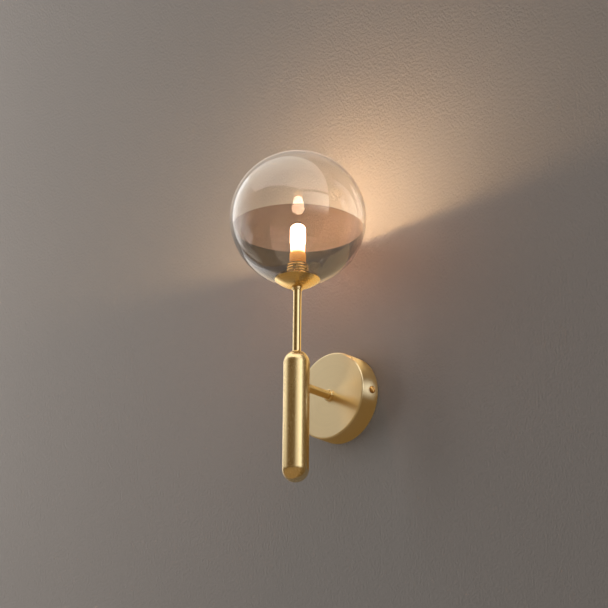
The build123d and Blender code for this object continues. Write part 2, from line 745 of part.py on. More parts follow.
def lampholder_contacts():
    """Sprung clips that grip the lamp's pins, each with a tail over its wire."""
    width = (TORCH_Y - LEAF_HALF_WIDTH, TORCH_Y + LEAF_HALF_WIDTH)
    clips = []
    for x in PIN_SIDES:
        side = math.copysign(1, x)
        tail = sorted((side * TAIL_X, side * (PIN_X + LEAF_GAP + LEAF)))
        clip = block(tail, width, (TAIL_Z, TAIL_Z + LEAF))
        for side in (-1, 1):
            leaf = sorted((x + side * LEAF_GAP, x + side * (LEAF_GAP + LEAF)))
            clip += block(leaf, width, (TAIL_Z, CHAMBER_TOP_Z - 0.3))
        clips.append(clip.solid())
    return Compound(clips)


def bulb_pins():
    """Wire loops under the lamp, one to each contact."""
    loops = []
    for x in PIN_SIDES:
        front, back = TORCH_Y - PIN_HALF_WIDTH, TORCH_Y + PIN_HALF_WIDTH
        bend_z = PIN_LOW_Z + PIN_HALF_WIDTH
        top_z = LAMP_LOW_Z + PIN_ROOT
        route = Curve() + [
            Line((x, front, top_z), (x, front, bend_z)),
            ThreePointArc((x, front, bend_z), (x, TORCH_Y, PIN_LOW_Z), (x, back, bend_z)),
            Line((x, back, bend_z), (x, back, top_z)),
        ]
        section = Plane(origin=(x, front, top_z), z_dir=(0, 0, -1)) * Circle(PIN_WIRE_R)
        loops.append(sweep(section, path=route).solid())
    return Compound(loops)


def bulb_body():
    """White lower body of the lamp, hollow for the driver."""
    body = rod_z(LAMP_BODY_R, LAMP_LOW_Z, LAMP_SEAM_Z)
    body = fillet(body.edges().filter_by(GeomType.CIRCLE).group_by(Axis.Z)[0], LAMP_BODY_ROUND)
    body -= rod_z(LAMP_BODY_BORE_R, LAMP_LOW_Z + LAMP_BODY_FLOOR, LAMP_SEAM_Z + 1)
    for x in PIN_SIDES:
        for y in (TORCH_Y - PIN_HALF_WIDTH, TORCH_Y + PIN_HALF_WIDTH):
            body -= rod_z(PIN_WIRE_R, LAMP_LOW_Z - 1, LAMP_LOW_Z + PIN_ROOT, x, y)
    return body


def driver_board():
    """Upright circuit board with its larger components."""
    half = 0.5
    width = (-DRIVER_HALF_WIDTH, DRIVER_HALF_WIDTH)
    board = block(width, (TORCH_Y - half, TORCH_Y + half), (DRIVER_Z, DRIVER_Z + DRIVER_HEIGHT))
    capacitor_y = TORCH_Y - half - CAPACITOR_R + 0.2
    capacitor_z = DRIVER_Z + DRIVER_HEIGHT / 2
    board += Pos(2.4, capacitor_y, capacitor_z) * Cylinder(CAPACITOR_R, CAPACITOR_LENGTH)
    coil_z = (DRIVER_Z + 1.0, DRIVER_Z + 1.0 + COIL_HEIGHT)
    return board + block((-4.4, -0.6), (TORCH_Y + half, TORCH_Y + 2.6), coil_z)


def led_board():
    """Upright light board with rows of small square emitters on both faces."""
    half = 0.6
    emitter = Box(2 * EMITTER_HALF, 4 * half, 2 * EMITTER_HALF)
    width = (-LED_BOARD_HALF_WIDTH, LED_BOARD_HALF_WIDTH)
    board = block(width, (TORCH_Y - half, TORCH_Y + half), (LED_BOARD_Z, LED_BOARD_TOP_Z))
    for row in range(EMITTER_ROWS):
        for x in (-EMITTER_X, EMITTER_X):
            board += Pos(x, TORCH_Y, LAMP_SEAM_Z + 3.0 + row * EMITTER_PITCH) * emitter
    return board


def bulb_diffuser():
    """Milky domed cover with a spigot in the lamp's body."""
    cover = rod_z(DIFFUSER_R, LAMP_SEAM_Z, LAMP_TOP_Z)
    cover = fillet(cover.edges().filter_by(GeomType.CIRCLE).group_by(Axis.Z)[-1], DIFFUSER_ROUND)
    cover = chamfer(cover.edges().filter_by(GeomType.CIRCLE).group_by(Axis.Z)[0], DIFFUSER_CHAMFER)
    spigot_z = LAMP_SEAM_Z - DIFFUSER_SPIGOT
    cover += rod_z(LAMP_BODY_BORE_R, spigot_z, LAMP_SEAM_Z + 0.5)
    cover -= rod_z(LAMP_BODY_BORE_R - DIFFUSER_WALL, spigot_z - 1, LAMP_SEAM_Z + 1.5)
    hollow = rod_z(DIFFUSER_R - DIFFUSER_WALL, LAMP_SEAM_Z + 1.0, LAMP_TOP_Z - DIFFUSER_WALL)
    inner_edge = hollow.edges().filter_by(GeomType.CIRCLE).group_by(Axis.Z)[-1]
    return cover - fillet(inner_edge, DIFFUSER_INSIDE_ROUND)


PARTS = [
    backplate_cup,
    side_screws,
    wall_bracket,
    cable_bush,
    earth_screw,
    earth_washer,
    earth_ring_terminal,
    earth_lead,
    terminal_block,
    terminal_inserts,
    terminal_screws,
    block_screws,
    lead_live,
    lead_neutral,
    arm_tube,
    arm_collar,
    arm_ferrule,
    arm_rear_nipple,
    arm_washer,
    arm_nut,
    arm_front_nipple,
    saddle_washer,
    capsule_nut,
    capsule_tube,
    capsule_top_cap,
    capsule_bottom_cap,
    stem_tube,
    stem_lower_nipple,
    stem_nut,
    stem_collar,
    globe_nipple,
    globe_dish,
    dish_nut,
    gallery_sleeve,
    glass_globe,
    mirror_coat,
    globe_seal,
    lampholder_bush,
    lampholder_body,
    lampholder_contacts,
    bulb_pins,
    bulb_body,
    driver_board,
    led_board,
    bulb_diffuser,
]


def main():
    os.makedirs("parts", exist_ok=True)
    for make in PARTS:
        export_step(make(), f"parts/{make.__name__}.step")


main()
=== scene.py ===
import json
import math

import bpy
from bpy.props import FloatProperty, FloatVectorProperty, PointerProperty
from mathutils import Matrix, Vector


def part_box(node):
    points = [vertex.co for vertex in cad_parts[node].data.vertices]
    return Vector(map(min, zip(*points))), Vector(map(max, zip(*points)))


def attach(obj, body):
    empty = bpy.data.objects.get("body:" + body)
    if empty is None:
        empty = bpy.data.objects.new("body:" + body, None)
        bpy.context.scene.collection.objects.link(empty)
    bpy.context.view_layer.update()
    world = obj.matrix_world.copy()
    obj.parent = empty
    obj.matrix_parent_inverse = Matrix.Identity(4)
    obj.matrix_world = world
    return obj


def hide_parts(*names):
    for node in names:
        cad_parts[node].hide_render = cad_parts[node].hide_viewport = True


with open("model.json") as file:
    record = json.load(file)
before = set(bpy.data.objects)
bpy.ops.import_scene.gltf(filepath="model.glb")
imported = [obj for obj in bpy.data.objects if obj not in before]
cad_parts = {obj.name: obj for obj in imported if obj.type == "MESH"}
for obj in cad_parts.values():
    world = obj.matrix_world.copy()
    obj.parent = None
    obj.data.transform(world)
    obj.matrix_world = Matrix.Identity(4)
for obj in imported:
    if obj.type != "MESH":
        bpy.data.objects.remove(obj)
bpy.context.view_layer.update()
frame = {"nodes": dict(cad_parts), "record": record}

bl_info = {
    "name": "Torch Wall Light",
    "version": (1, 0, 0),
    "blender": (4, 5, 0),
    "location": "3D View > Sidebar > Torch Light",
    "description": "Builds a brass wall light in the shape of a torch, with a half-mirrored glass globe",
    "category": "Add Mesh",
}

MERGE = 2e-6
WHITE = (1.0, 1.0, 1.0, 1.0)
LAMP_WHITE = (1.0, 0.99, 0.97)
UPRIGHT = (math.radians(90), 0.0, 0.0)


def lowest(node):
    """Lowest corner of a CAD node's box."""
    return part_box(node)[0]


def highest(node):
    """Highest corner of a CAD node's box."""
    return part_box(node)[1]


def radius_of(node):
    """Half the width of a round CAD node."""
    return (highest(node).x - lowest(node).x) / 2


# Places and sizes that the frame gives, in metres
TORCH_Y = (lowest("capsule_tube").y + highest("capsule_tube").y) / 2
PLATE_R = radius_of("backplate_cup")
PLATE_FRONT = lowest("backplate_cup").y
TUBE_R = radius_of("arm_tube")
CAPSULE_R = radius_of("capsule_tube")
CAPSULE_LOW = lowest("capsule_tube").z
CAPSULE_HIGH = highest("capsule_tube").z
STEM_LOW = lowest("stem_tube").z
STEM_TOP = highest("stem_tube").z
DISH_R = radius_of("globe_dish")
DISH_RIM = highest("globe_dish").z
DISH_FLOOR = lowest("globe_dish").z
GLOBE_R = radius_of("glass_globe")
GLOBE_Z = highest("glass_globe").z - GLOBE_R
FILM_EDGE = highest("mirror_coat").z
HOLDER_LOW = lowest("lampholder_body").z
HOLDER_TOP = highest("lampholder_body").z
LAMP_LOW = lowest("bulb_body").z
LAMP_SEAM = highest("bulb_body").z
LAMP_TOP = highest("bulb_diffuser").z
LAMP_MIDDLE = (LAMP_SEAM + LAMP_TOP) / 2
SCREW_Y = (lowest("side_screws").y + highest("side_screws").y) / 2

# Wall thicknesses, bores and other sizes that no box shows, in metres
SHEET = 0.0012
TUBE_BORE_R = 0.0034
HOLE_R = 0.0041
THREAD_R = 0.0040
SPIGOT = 0.0080
CAP_BORE_R = 0.0105
CAP_ROOF = 0.0040
CAP_BORE_DEPTH = 0.0060
DISH_FLAT_R = 0.0080
SLEEVE_R = 0.0120
SLEEVE_BORE_R = 0.0104
SLEEVE_TOP = 0.1420
SLEEVE_ROOF = 0.0015
NECK_R = 0.0125
LIP_R = 0.0165
LIP_TOP = 0.1270
SEAL_R = 0.0190
SEAL_BORE_R = 0.0140
RUNNING_GAP = 0.00035
FILM = 0.0002
FILM_GAP = 0.00005
LAMP_BODY_R = 0.0079
LAMP_BORE_R = 0.0067
DIFFUSER_R = 0.00865
DIFFUSER_WALL = 0.0010
COLLAR_STEP = 0.0022
COLLAR_INSET = 0.00085
STEM_STEP = 0.0013
STEM_INSET = 0.00055
LAMP_FLOOR = 0.0018
LAMP_CORNER = 0.0010
LAMP_SPIGOT = 0.0015
DOME = 0.0064875
INNER_DOME = 0.0054

# Widths of broken edges that differ from the common one, in metres
PLUG_EDGE = 0.00004
LAMP_EDGE = 0.0001
COVER_EDGE = 0.00025
SEAL_EDGE = 0.0003
LIP_EDGE = 0.0005

# Faces round a turned piece, and the angles in degrees that count as sharp
ROUND = 128
WIDE_ROUND = 192
BEVEL_ANGLE = 34.0
SMOOTH_ANGLE = 40.0

# The painted wall: its size, the height of its middle and its gap behind the plate, in metres
WALL_SIZE = (9.0, 3.8, 1.0)
WALL_MIDDLE = 0.6
WALL_GAP = 0.0004

# Height of the lowest cards, and the plane of the cards just in front of the wall, in metres
CARD_FLOOR = -1.25
CARD_WALL = -0.0012


class PieceSizes(bpy.types.PropertyGroup):
    """Sizes of the details that the frame leaves open."""

    plate_edge: FloatProperty(
        name="Plate edge", description="Radius of the wall plate's rolled front edge", default=0.0018,
        min=0.0002, max=0.004, unit="LENGTH",
    )
    broken_edge: FloatProperty(
        name="Broken edge", description="Width that is taken off the sharp edges of metal pieces",
        default=0.00018, min=0.00002, max=0.001, unit="LENGTH",
    )
    glass_wall: FloatProperty(
        name="Glass wall", description="Thickness of the blown globe's wall", default=0.0026, min=0.001,
        max=0.005, unit="LENGTH",
    )
    thread_pitch: FloatProperty(
        name="Thread pitch", description="Rise of the sleeve's thread in one turn", default=0.003,
        min=0.001, max=0.006, unit="LENGTH",
    )
    thread_depth: FloatProperty(
        name="Thread depth", description="Depth of the sleeve's thread", default=0.00065, min=0.0001,
        max=0.002, unit="LENGTH",
    )


class Finishes(bpy.types.PropertyGroup):
    """Colours and finishes of the pieces."""

    brass: FloatVectorProperty(
        name="Brass", description="Colour of the satin brass of the capsule, the stem and the arm",
        default=(0.87, 0.68, 0.37), min=0.0, max=1.0, subtype="COLOR",
    )
    pale_brass: FloatVectorProperty(
        name="Pale brass", description="Colour of the turned brass of the wall plate",
        default=(0.93, 0.78, 0.50), min=0.0, max=1.0, subtype="COLOR",
    )
    gold: FloatVectorProperty(
        name="Gold", description="Deeper colour of the brushed dish under the globe",
        default=(0.86, 0.62, 0.28), min=0.0, max=1.0, subtype="COLOR",
    )
    worn_brass: FloatVectorProperty(
        name="Worn brass", description="Brighter colour where handling has polished the edges",
        default=(0.94, 0.84, 0.62), min=0.0, max=1.0, subtype="COLOR",
    )
    film: FloatVectorProperty(
        name="Film from inside",
        description="Colour that passes through the mirror film, seen from inside the globe",
        default=(0.38, 0.48, 0.50), min=0.0, max=1.0, subtype="COLOR",
    )
    film_outside: FloatVectorProperty(
        name="Film from outside",
        description="Colour that passes through the mirror film, seen from outside the globe",
        default=(0.66, 0.52, 0.45), min=0.0, max=1.0, subtype="COLOR",
    )
    glow: FloatVectorProperty(
        name="Glow", description="Colour of the lit lamp", default=(1.0, 0.80, 0.60), min=0.0, max=1.0,
        subtype="COLOR",
    )
    glow_strength: FloatProperty(
        name="Glow strength", description="Brightness of the lit lamp", default=100.0, min=0.0, max=200.0,
    )
    satin: FloatProperty(
        name="Satin", description="Roughness of the satin brass", default=0.22, min=0.0, max=1.0,
        subtype="FACTOR",
    )
    wear: FloatProperty(
        name="Wear", description="Share of the edges that is polished by handling", default=0.55, min=0.0,
        max=1.0, subtype="FACTOR",
    )


class Studio(bpy.types.PropertyGroup):
    """The plain room, its lamps and the camera."""

    wall: FloatVectorProperty(
        name="Wall", description="Colour of the wall behind the light", default=(0.275, 0.252, 0.235),
        min=0.0, max=1.0, subtype="COLOR",
    )
    floor: FloatVectorProperty(
        name="Floor", description="Colour of the floor", default=(0.70, 0.68, 0.65), min=0.0, max=1.0,
        subtype="COLOR",
    )
    floor_height: FloatProperty(
        name="Floor height", description="Height of the floor below the arm", default=-1.30, unit="LENGTH",
    )
    softbox: FloatProperty(
        name="Softbox", description="Radiance of the main soft lamp", default=3.8, min=0.0, max=10.0,
    )
    glow_power: FloatProperty(
        name="Glow on the wall",
        description="Power of the warm light that the lit lamp spreads over the wall", default=5.6, min=0.0,
        max=200.0,
    )
    window: FloatProperty(
        name="Window", description="Brightness of the bright cards that the metal and the glass reflect",
        default=2.2, min=0.0, max=10.0,
    )
    ground: FloatVectorProperty(
        name="Ground", description="Colour of the card below that the metal and the glass reflect",
        default=(0.30, 0.21, 0.11), min=0.0, max=1.0, subtype="COLOR",
    )
    shade: FloatVectorProperty(
        name="Shade", description="Colour of the dark cards that the metal and the glass reflect",
        default=(0.145, 0.10, 0.05), min=0.0, max=1.0, subtype="COLOR",
    )
    lens: FloatProperty(
        name="Lens", description="Focal length of the camera on a 36 mm sensor, in millimetres",
        default=156.9, min=20.0, max=400.0,
    )
    azimuth: FloatProperty(
        name="Azimuth", description="How far the camera stands round to the right",
        default=math.radians(42.52), subtype="ANGLE", unit="ROTATION",
    )
    elevation: FloatProperty(
        name="Elevation", description="How far the camera looks down, or up when negative",
        default=math.radians(-20.34), subtype="ANGLE", unit="ROTATION",
    )
    roll: FloatProperty(
        name="Roll", description="Turn of the camera about its own line of sight",
        default=math.radians(0.52), subtype="ANGLE", unit="ROTATION",
    )
    distance: FloatProperty(
        name="Distance", description="Distance from the camera to the point that it looks at",
        default=3.016, min=0.5, unit="LENGTH",
    )


# Modelling helpers


def deselect():
    """Leave nothing selected."""
    bpy.ops.object.select_all(action="DESELECT")


def make_active(piece):
    """Select one piece and make it the active one."""
    deselect()
    piece.select_set(True)
    bpy.context.view_layer.objects.active = piece


def open_mesh(piece):
    """Open a piece in edit mode, all of it selected."""
    make_active(piece)
    bpy.ops.object.mode_set(mode="EDIT")
    bpy.ops.mesh.select_all(action="SELECT")


def close_mesh():
    """Go back to object mode."""
    bpy.ops.object.mode_set(mode="OBJECT")


def apply_modifier(piece, kind, **settings):
    """Give a piece a modifier and apply it."""
    modifier = piece.modifiers.new(kind.title(), kind)
    for name, value in settings.items():
        setattr(modifier, name, value)
    make_active(piece)
    bpy.ops.object.modifier_apply(modifier=modifier.name)


def arc(centre, radius, start, end, steps):
    """Points along a round stretch of an outline, from one angle to another in degrees."""
    angles = [math.radians(start + (end - start) * i / steps) for i in range(steps + 1)]
    return [(centre[0] + radius * math.cos(a), centre[1] + radius * math.sin(a)) for a in angles]


def place(axis, point):
    """Place of an outline's point, whose second number is the torch's height or the arm's depth."""
    if axis == "torch":
        return Vector((point[0], TORCH_Y, point[1]))
    return Vector((point[0], point[1], 0.0))


def draw_outline(name, points):
    """Draw a chain of points, starting from a small plane that is merged to one vertex."""
    deselect()
    bpy.ops.mesh.primitive_plane_add(size=SHEET, location=points[0])
    piece = bpy.context.active_object
    piece.name = piece.data.name = name
    bpy.ops.object.transform_apply(location=True, rotation=False, scale=False)
    open_mesh(piece)
    bpy.ops.mesh.merge(type="CENTER")
    for here, there in zip(points, points[1:]):
        bpy.ops.mesh.extrude_vertices_move(TRANSFORM_OT_translate={"value": there - here})
    bpy.ops.mesh.select_all(action="SELECT")
    return piece


def clean():
    """Merge doubles in the open mesh and turn its faces outwards."""
    bpy.ops.mesh.select_all(action="SELECT")
    bpy.ops.mesh.remove_doubles(threshold=MERGE)
    bpy.ops.mesh.normals_make_consistent(inside=False)


def turned(name, axis, outline, steps=ROUND):
    """Turn an outline round the torch's or the arm's axis, as on a lathe."""
    piece = draw_outline(name, [place(axis, point) for point in outline])
    centre = (0.0, TORCH_Y, 0.0) if axis == "torch" else (0.0, 0.0, 0.0)
    direction = (0.0, 0.0, 1.0) if axis == "torch" else (0.0, 1.0, 0.0)
    bpy.ops.mesh.spin(steps=steps, angle=math.tau, center=centre, axis=direction)
    clean()
    close_mesh()
    return piece


def ring(inner, outer, low, high):
    """Closed outline of a plain ring."""
    return [(inner, low), (outer, low), (outer, high), (inner, high), (inner, low)]


def cut(piece, cutter):
    """Take a cutter out of a piece and throw the cutter away."""
    apply_modifier(piece, "BOOLEAN", operation="DIFFERENCE", solver="EXACT", object=cutter)
    bpy.data.objects.remove(cutter)


def drill(piece, axis, radius, start, end):
    """Drill a round hole along the torch's or the arm's axis."""
    bit = [(0.0, start), (radius, start), (radius, end), (0.0, end)]
    cut(piece, turned("bit", axis, bit))


def fit_to_capsule(piece):
    """Cut a piece to the capsule's round side."""
    bar = [(0.0, CAPSULE_LOW), (CAPSULE_R, CAPSULE_LOW), (CAPSULE_R, CAPSULE_HIGH), (0.0, CAPSULE_HIGH)]
    cut(piece, turned("bar", "torch", bar, WIDE_ROUND))


def copied(node):
    """Start a piece from a merged copy of a CAD node's mesh."""
    piece = bpy.data.objects.new(f"{node}_finished", frame["nodes"][node].data.copy())
    bpy.context.scene.collection.objects.link(piece)
    piece.data.materials.clear()
    open_mesh(piece)
    bpy.ops.mesh.remove_doubles(threshold=MERGE)
    bpy.ops.mesh.dissolve_limited(angle_limit=math.radians(0.4))
    close_mesh()
    make_active(piece)
    bpy.ops.mesh.customdata_custom_splitnormals_clear()
    return piece


def break_edges(piece, width, segments):
    """Round the sharp edges of a piece, and mark the new faces for wear."""
    mesh = piece.data
    mesh.materials.clear()
    mesh.materials.append(None)
    mesh.materials.append(None)
    apply_modifier(
        piece, "BEVEL", width=width, segments=segments, limit_method="ANGLE",
        angle_limit=math.radians(BEVEL_ANGLE), material=1,
    )
    edge = mesh.attributes.new("broken_edge", "FLOAT", "CORNER")
    for face in mesh.polygons:
        if face.material_index == 1:
            for corner in face.loop_indices:
                edge.data[corner].value = 1.0
        face.material_index = 0
    mesh.materials.clear()


def body_of(node):
    """Name of the body that carries a CAD node."""
    bodies = frame["record"]["behaviour"]["bodies"]
    return next(name for name, nodes in bodies.items() if node in nodes)


def finish(piece, node, material, width=None, segments=2, sharp=SMOOTH_ANGLE):
    """Break a piece's edges, smooth it and put it in the place of the CAD node that it stands for."""
    if width:
        break_edges(piece, width, segments)
    make_active(piece)
    bpy.ops.object.shade_smooth_by_angle(angle=math.radians(sharp))
    apply_modifier(piece, "WEIGHTED_NORMAL", keep_sharp=True)
    piece.data.materials.clear()
    piece.data.materials.append(material)
    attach(piece, body_of(node))
    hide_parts(node)


def dress(node, material, width=None):
    """Finish a piece whose CAD shape is right."""
    finish(copied(node), node, material, width)


# Material helpers


def fill(made, inputs):
    """Set or join a node's inputs by name or number."""
    for name, value in inputs.items():
        if isinstance(value, bpy.types.NodeSocket):
            made.id_data.links.new(value, made.inputs[name])
        else:
            made.inputs[name].default_value = value
    return made


def put(tree, kind, inputs=None, **settings):
    """Add a node, set it up and fill its inputs."""
    made = tree.nodes.new(kind)
    for name, value in settings.items():
        setattr(made, name, value)
    return fill(made, inputs or {})


def math_of(tree, operation, first, second=0.0, third=0.0):
    """Output of a maths node."""
    made = put(tree, "ShaderNodeMath", {0: first, 1: second, 2: third}, operation=operation)
    return made.outputs["Value"]


def ramp_of(tree, value, low, high, to_low=0.0, to_high=1.0):
    """Output of a smooth step between two limits."""
    inputs = {"Value": value, "From Min": low, "From Max": high, "To Min": to_low, "To Max": to_high}
    return put(tree, "ShaderNodeMapRange", inputs, interpolation_type="SMOOTHSTEP").outputs["Result"]


def blend_of(tree, factor, first, second):
    """Output of a colour mix."""
    made = put(tree, "ShaderNodeMix", data_type="RGBA")
    return fill(made, {0: factor, 6: first, 7: second}).outputs[2]


def toned(tree, colour, value):
    """A colour made darker or brighter by a value."""
    return put(tree, "ShaderNodeHueSaturation", {"Color": colour, "Value": value}).outputs["Color"]


def noise_of(tree, vector, scale, detail=3.0, roughness=0.5):
    """Output of a noise texture."""
    inputs = {"Vector": vector, "Scale": scale, "Detail": detail, "Roughness": roughness}
    return put(tree, "ShaderNodeTexNoise", inputs).outputs["Fac"]


def own_place(tree):
    """A piece's own coordinates."""
    return put(tree, "ShaderNodeTexCoord").outputs["Object"]


def mapped(tree, vector, **changes):
    """A vector moved, turned or scaled."""
    return put(tree, "ShaderNodeMapping", {"Vector": vector, **changes}).outputs["Vector"]


def parts_of(tree, vector):
    """The three numbers of a vector."""
    return put(tree, "ShaderNodeSeparateXYZ", {"Vector": vector}).outputs


def length_of(tree, vector):
    """Length of a vector."""
    return put(tree, "ShaderNodeVectorMath", {0: vector}, operation="LENGTH").outputs["Value"]


def clear_of(tree, tint=WHITE):
    """A shader that lets light straight through."""
    return put(tree, "ShaderNodeBsdfTransparent", {"Color": tint}).outputs["BSDF"]


def mix_of(tree, share, first, second):
    """Mix of two shaders."""
    return put(tree, "ShaderNodeMixShader", {0: share, 1: first, 2: second}).outputs["Shader"]


def opaque(colour):
    """Colour with full alpha."""
    return (*colour, 1.0)


def group_tree(name, inputs, outputs):
    """Start a shader node group and give back its tree, its inputs and its output node."""
    tree = bpy.data.node_groups.new(name, "ShaderNodeTree")
    for label, default in {"Vector": (0.0, 0.0, 0.0), **inputs}.items():
        kind = "NodeSocketVector" if isinstance(default, tuple) else "NodeSocketFloat"
        tree.interface.new_socket(label, in_out="INPUT", socket_type=kind).default_value = default
    for label in outputs:
        tree.interface.new_socket(label, in_out="OUTPUT", socket_type="NodeSocketFloat")
    return tree, tree.nodes.new("NodeGroupInput").outputs, tree.nodes.new("NodeGroupOutput")


def use_group(tree, name, build, inputs):
    """Place a node group in a material, building the group at its first use."""
    made = put(tree, "ShaderNodeGroup", node_tree=bpy.data.node_groups.get(name) or build(name))
    return fill(made, inputs).outputs


def linear_grain_group(name):
    """Fine straight brushing: a height for the bump and slow streaks for the colour."""
    inputs = {"Stretch": (1.0, 1.0, 0.03), "Fineness": 4000.0}
    tree, given, out = group_tree(name, inputs, ("Height", "Streaks"))
    inputs = {0: given["Vector"], 1: given["Stretch"]}
    scaled = put(tree, "ShaderNodeVectorMath", inputs, operation="MULTIPLY").outputs["Vector"]
    fine = noise_of(tree, scaled, given["Fineness"], 4.0, 0.6)
    coarse = noise_of(tree, scaled, math_of(tree, "MULTIPLY", given["Fineness"], 0.12), 3.0)
    fill(out, {"Height": math_of(tree, "MULTIPLY_ADD", coarse, 0.6, fine), "Streaks": coarse})
    return tree


def turned_grain_group(name):
    """Fine rings round the Z axis, as a lathe or a polishing wheel leaves them."""
    tree, given, out = group_tree(name, {"Fineness": 4000.0}, ("Height", "Streaks"))
    parts = parts_of(tree, given["Vector"])
    across = math_of(tree, "MULTIPLY", parts["X"], parts["X"])
    across = math_of(tree, "MULTIPLY_ADD", parts["Y"], parts["Y"], across)
    turn = math_of(tree, "ARCTAN2", parts["Y"], parts["X"])
    slow_turn = math_of(tree, "MULTIPLY", math_of(tree, "ABSOLUTE", turn), 0.0002)
    inputs = {"X": math_of(tree, "SQRT", across), "Y": slow_turn, "Z": parts["Z"]}
    polar = put(tree, "ShaderNodeCombineXYZ", inputs).outputs["Vector"]
    fine = noise_of(tree, polar, given["Fineness"], 3.0, 0.6)
    coarse = noise_of(tree, polar, math_of(tree, "MULTIPLY", given["Fineness"], 0.15), 3.0)
    fill(out, {"Height": math_of(tree, "MULTIPLY_ADD", coarse, 0.6, fine), "Streaks": coarse})
    return tree


def edge_wear_group(name):
    """Mask of the broken edges that handling has polished, in patches."""
    tree, given, out = group_tree(name, {"Amount": 0.5, "Patch size": 260.0}, ("Mask",))
    edge = put(tree, "ShaderNodeAttribute", attribute_name="broken_edge").outputs["Fac"]
    patches = noise_of(tree, given["Vector"], given["Patch size"], 4.0, 0.65)
    limit = math_of(tree, "SUBTRACT", 0.85, math_of(tree, "MULTIPLY", given["Amount"], 0.6))
    worn = ramp_of(tree, patches, math_of(tree, "SUBTRACT", limit, 0.08), math_of(tree, "ADD", limit, 0.12))
    fill(out, {"Mask": math_of(tree, "MULTIPLY", edge, worn)})
    return tree


def handling_group(name):
    """Soft smudges and fine specks that change the gloss."""
    inputs = {"Smudge size": 38.0, "Speck size": 1500.0}
    tree, given, out = group_tree(name, inputs, ("Smudges", "Specks"))
    soft = noise_of(tree, given["Vector"], given["Smudge size"], 5.0, 0.55)
    dots = noise_of(tree, given["Vector"], given["Speck size"], 1.0)
    fill(out, {"Smudges": ramp_of(tree, soft, 0.38, 0.68), "Specks": ramp_of(tree, dots, 0.70, 0.76)})
    return tree


def thread_group(name):
    """Height of a fine screw thread along the Z axis."""
    tree, given, out = group_tree(name, {"Pitch": 0.001}, ("Height",))
    parts = parts_of(tree, given["Vector"])
    turn = math_of(tree, "DIVIDE", math_of(tree, "ARCTAN2", parts["Y"], parts["X"]), math.tau)
    along = math_of(tree, "ADD", math_of(tree, "DIVIDE", parts["Z"], given["Pitch"]), turn)
    fill(out, {"Height": math_of(tree, "PINGPONG", along, 0.5)})
    return tree


def new_material(name, **constants):
    """Start a material with one Principled shader and its plain values."""
    material = bpy.data.materials.new(f"{name}_finish")
    material.use_nodes = True
    tree = material.node_tree
    tree.nodes.clear()
    shader = put(tree, "ShaderNodeBsdfPrincipled")
    for label, value in constants.items():
        shader.inputs[label.replace("_", " ")].default_value = value
    output = put(tree, "ShaderNodeOutputMaterial", {"Surface": shader.outputs["BSDF"]})
    return material, tree, shader, output


def shader_of(material):
    """A material's tree and its Principled shader."""
    tree = material.node_tree
    return tree, next(node for node in tree.nodes if node.type == "BSDF_PRINCIPLED")


def centred(tree, axis):
    """Object coordinates turned so that the torch's or the arm's axis is Z."""
    here = own_place(tree)
    if axis == "torch":
        return mapped(tree, here, Location=(0.0, -TORCH_Y, 0.0))
    return mapped(tree, here, Rotation=UPRIGHT)


def bump(tree, shader, height, distance, strength=1.0):
    """Feed a height to the shader's normal."""
    inputs = {"Height": height, "Distance": distance, "Strength": strength}
    fill(shader, {"Normal": put(tree, "ShaderNodeBump", inputs).outputs["Normal"]})


def metal(
    name, colour, worn, roughness, axis="torch", grain="linear", depth=0.00002,
    stretch=(1.0, 1.0, 0.03), fineness=4000.0, wear=0.55, streak=0.10, spread=0.0, turn=0.0,
):
    """Brushed or turned metal with polished edges, smudges and streaks of tone."""
    constants = {"Metallic": 1.0, "Anisotropic": spread, "Anisotropic_Rotation": turn}
    material, tree, shader, _ = new_material(name, **constants)
    if spread:
        round_axis = "Z" if axis == "torch" else "Y"
        tangent = put(tree, "ShaderNodeTangent", direction_type="RADIAL", axis=round_axis)
        fill(shader, {"Tangent": tangent.outputs["Tangent"]})
    here = centred(tree, axis)
    if grain == "linear":
        inputs = {"Vector": here, "Stretch": stretch, "Fineness": fineness}
        lines = use_group(tree, "Linear grain", linear_grain_group, inputs)
    else:
        inputs = {"Vector": here, "Fineness": fineness}
        lines = use_group(tree, "Turned grain", turned_grain_group, inputs)
    worn_mask = use_group(tree, "Edge wear", edge_wear_group, {"Vector": here, "Amount": wear})["Mask"]
    touched = use_group(tree, "Handling", handling_group, {"Vector": here})
    tone = ramp_of(tree, lines["Streaks"], 0.3, 0.7, 1.0 - streak, 1.0 + streak * 0.5)
    shown = blend_of(tree, worn_mask, toned(tree, opaque(colour), tone), opaque(worn))
    gloss = math_of(tree, "MULTIPLY_ADD", touched["Smudges"], 0.03, roughness)
    gloss = math_of(tree, "MULTIPLY_ADD", lines["Streaks"], 0.06, gloss)
    gloss = math_of(tree, "MULTIPLY_ADD", touched["Specks"], 0.12, gloss)
    gloss = math_of(tree, "MULTIPLY_ADD", worn_mask, -0.08, gloss)
    fill(shader, {"Base Color": shown, "Roughness": gloss})
    bump(tree, shader, lines["Height"], depth)
    return material


def once(name, build, *values, **named):
    """A material that several pieces share, built at its first use."""
    return bpy.data.materials.get(f"{name}_finish") or build(name, *values, **named)


def satin_brass(looks):
    """Satin brass, brushed along the capsule."""
    return once(
        "satin_brass_torch", metal, looks.brass, looks.worn_brass, looks.satin, wear=looks.wear,
        depth=0.000008, streak=0.05, spread=0.5,
    )


def polished_brass(looks, axis="torch"):
    """Turned and polished brass of the tubes and rings."""
    return once(
        f"polished_brass_{axis}", metal, looks.brass, looks.worn_brass, looks.satin * 0.55, axis=axis,
        grain="turned", wear=looks.wear, depth=0.000004, streak=0.04,
    )


def dish_brass(looks):
    """Deep gold brass, brushed in rings."""
    return once(
        "dish_brass", metal, looks.gold, looks.worn_brass, looks.satin * 1.1, grain="turned",
        wear=looks.wear, depth=0.000006, streak=0.05, spread=0.7, turn=0.25,
    )


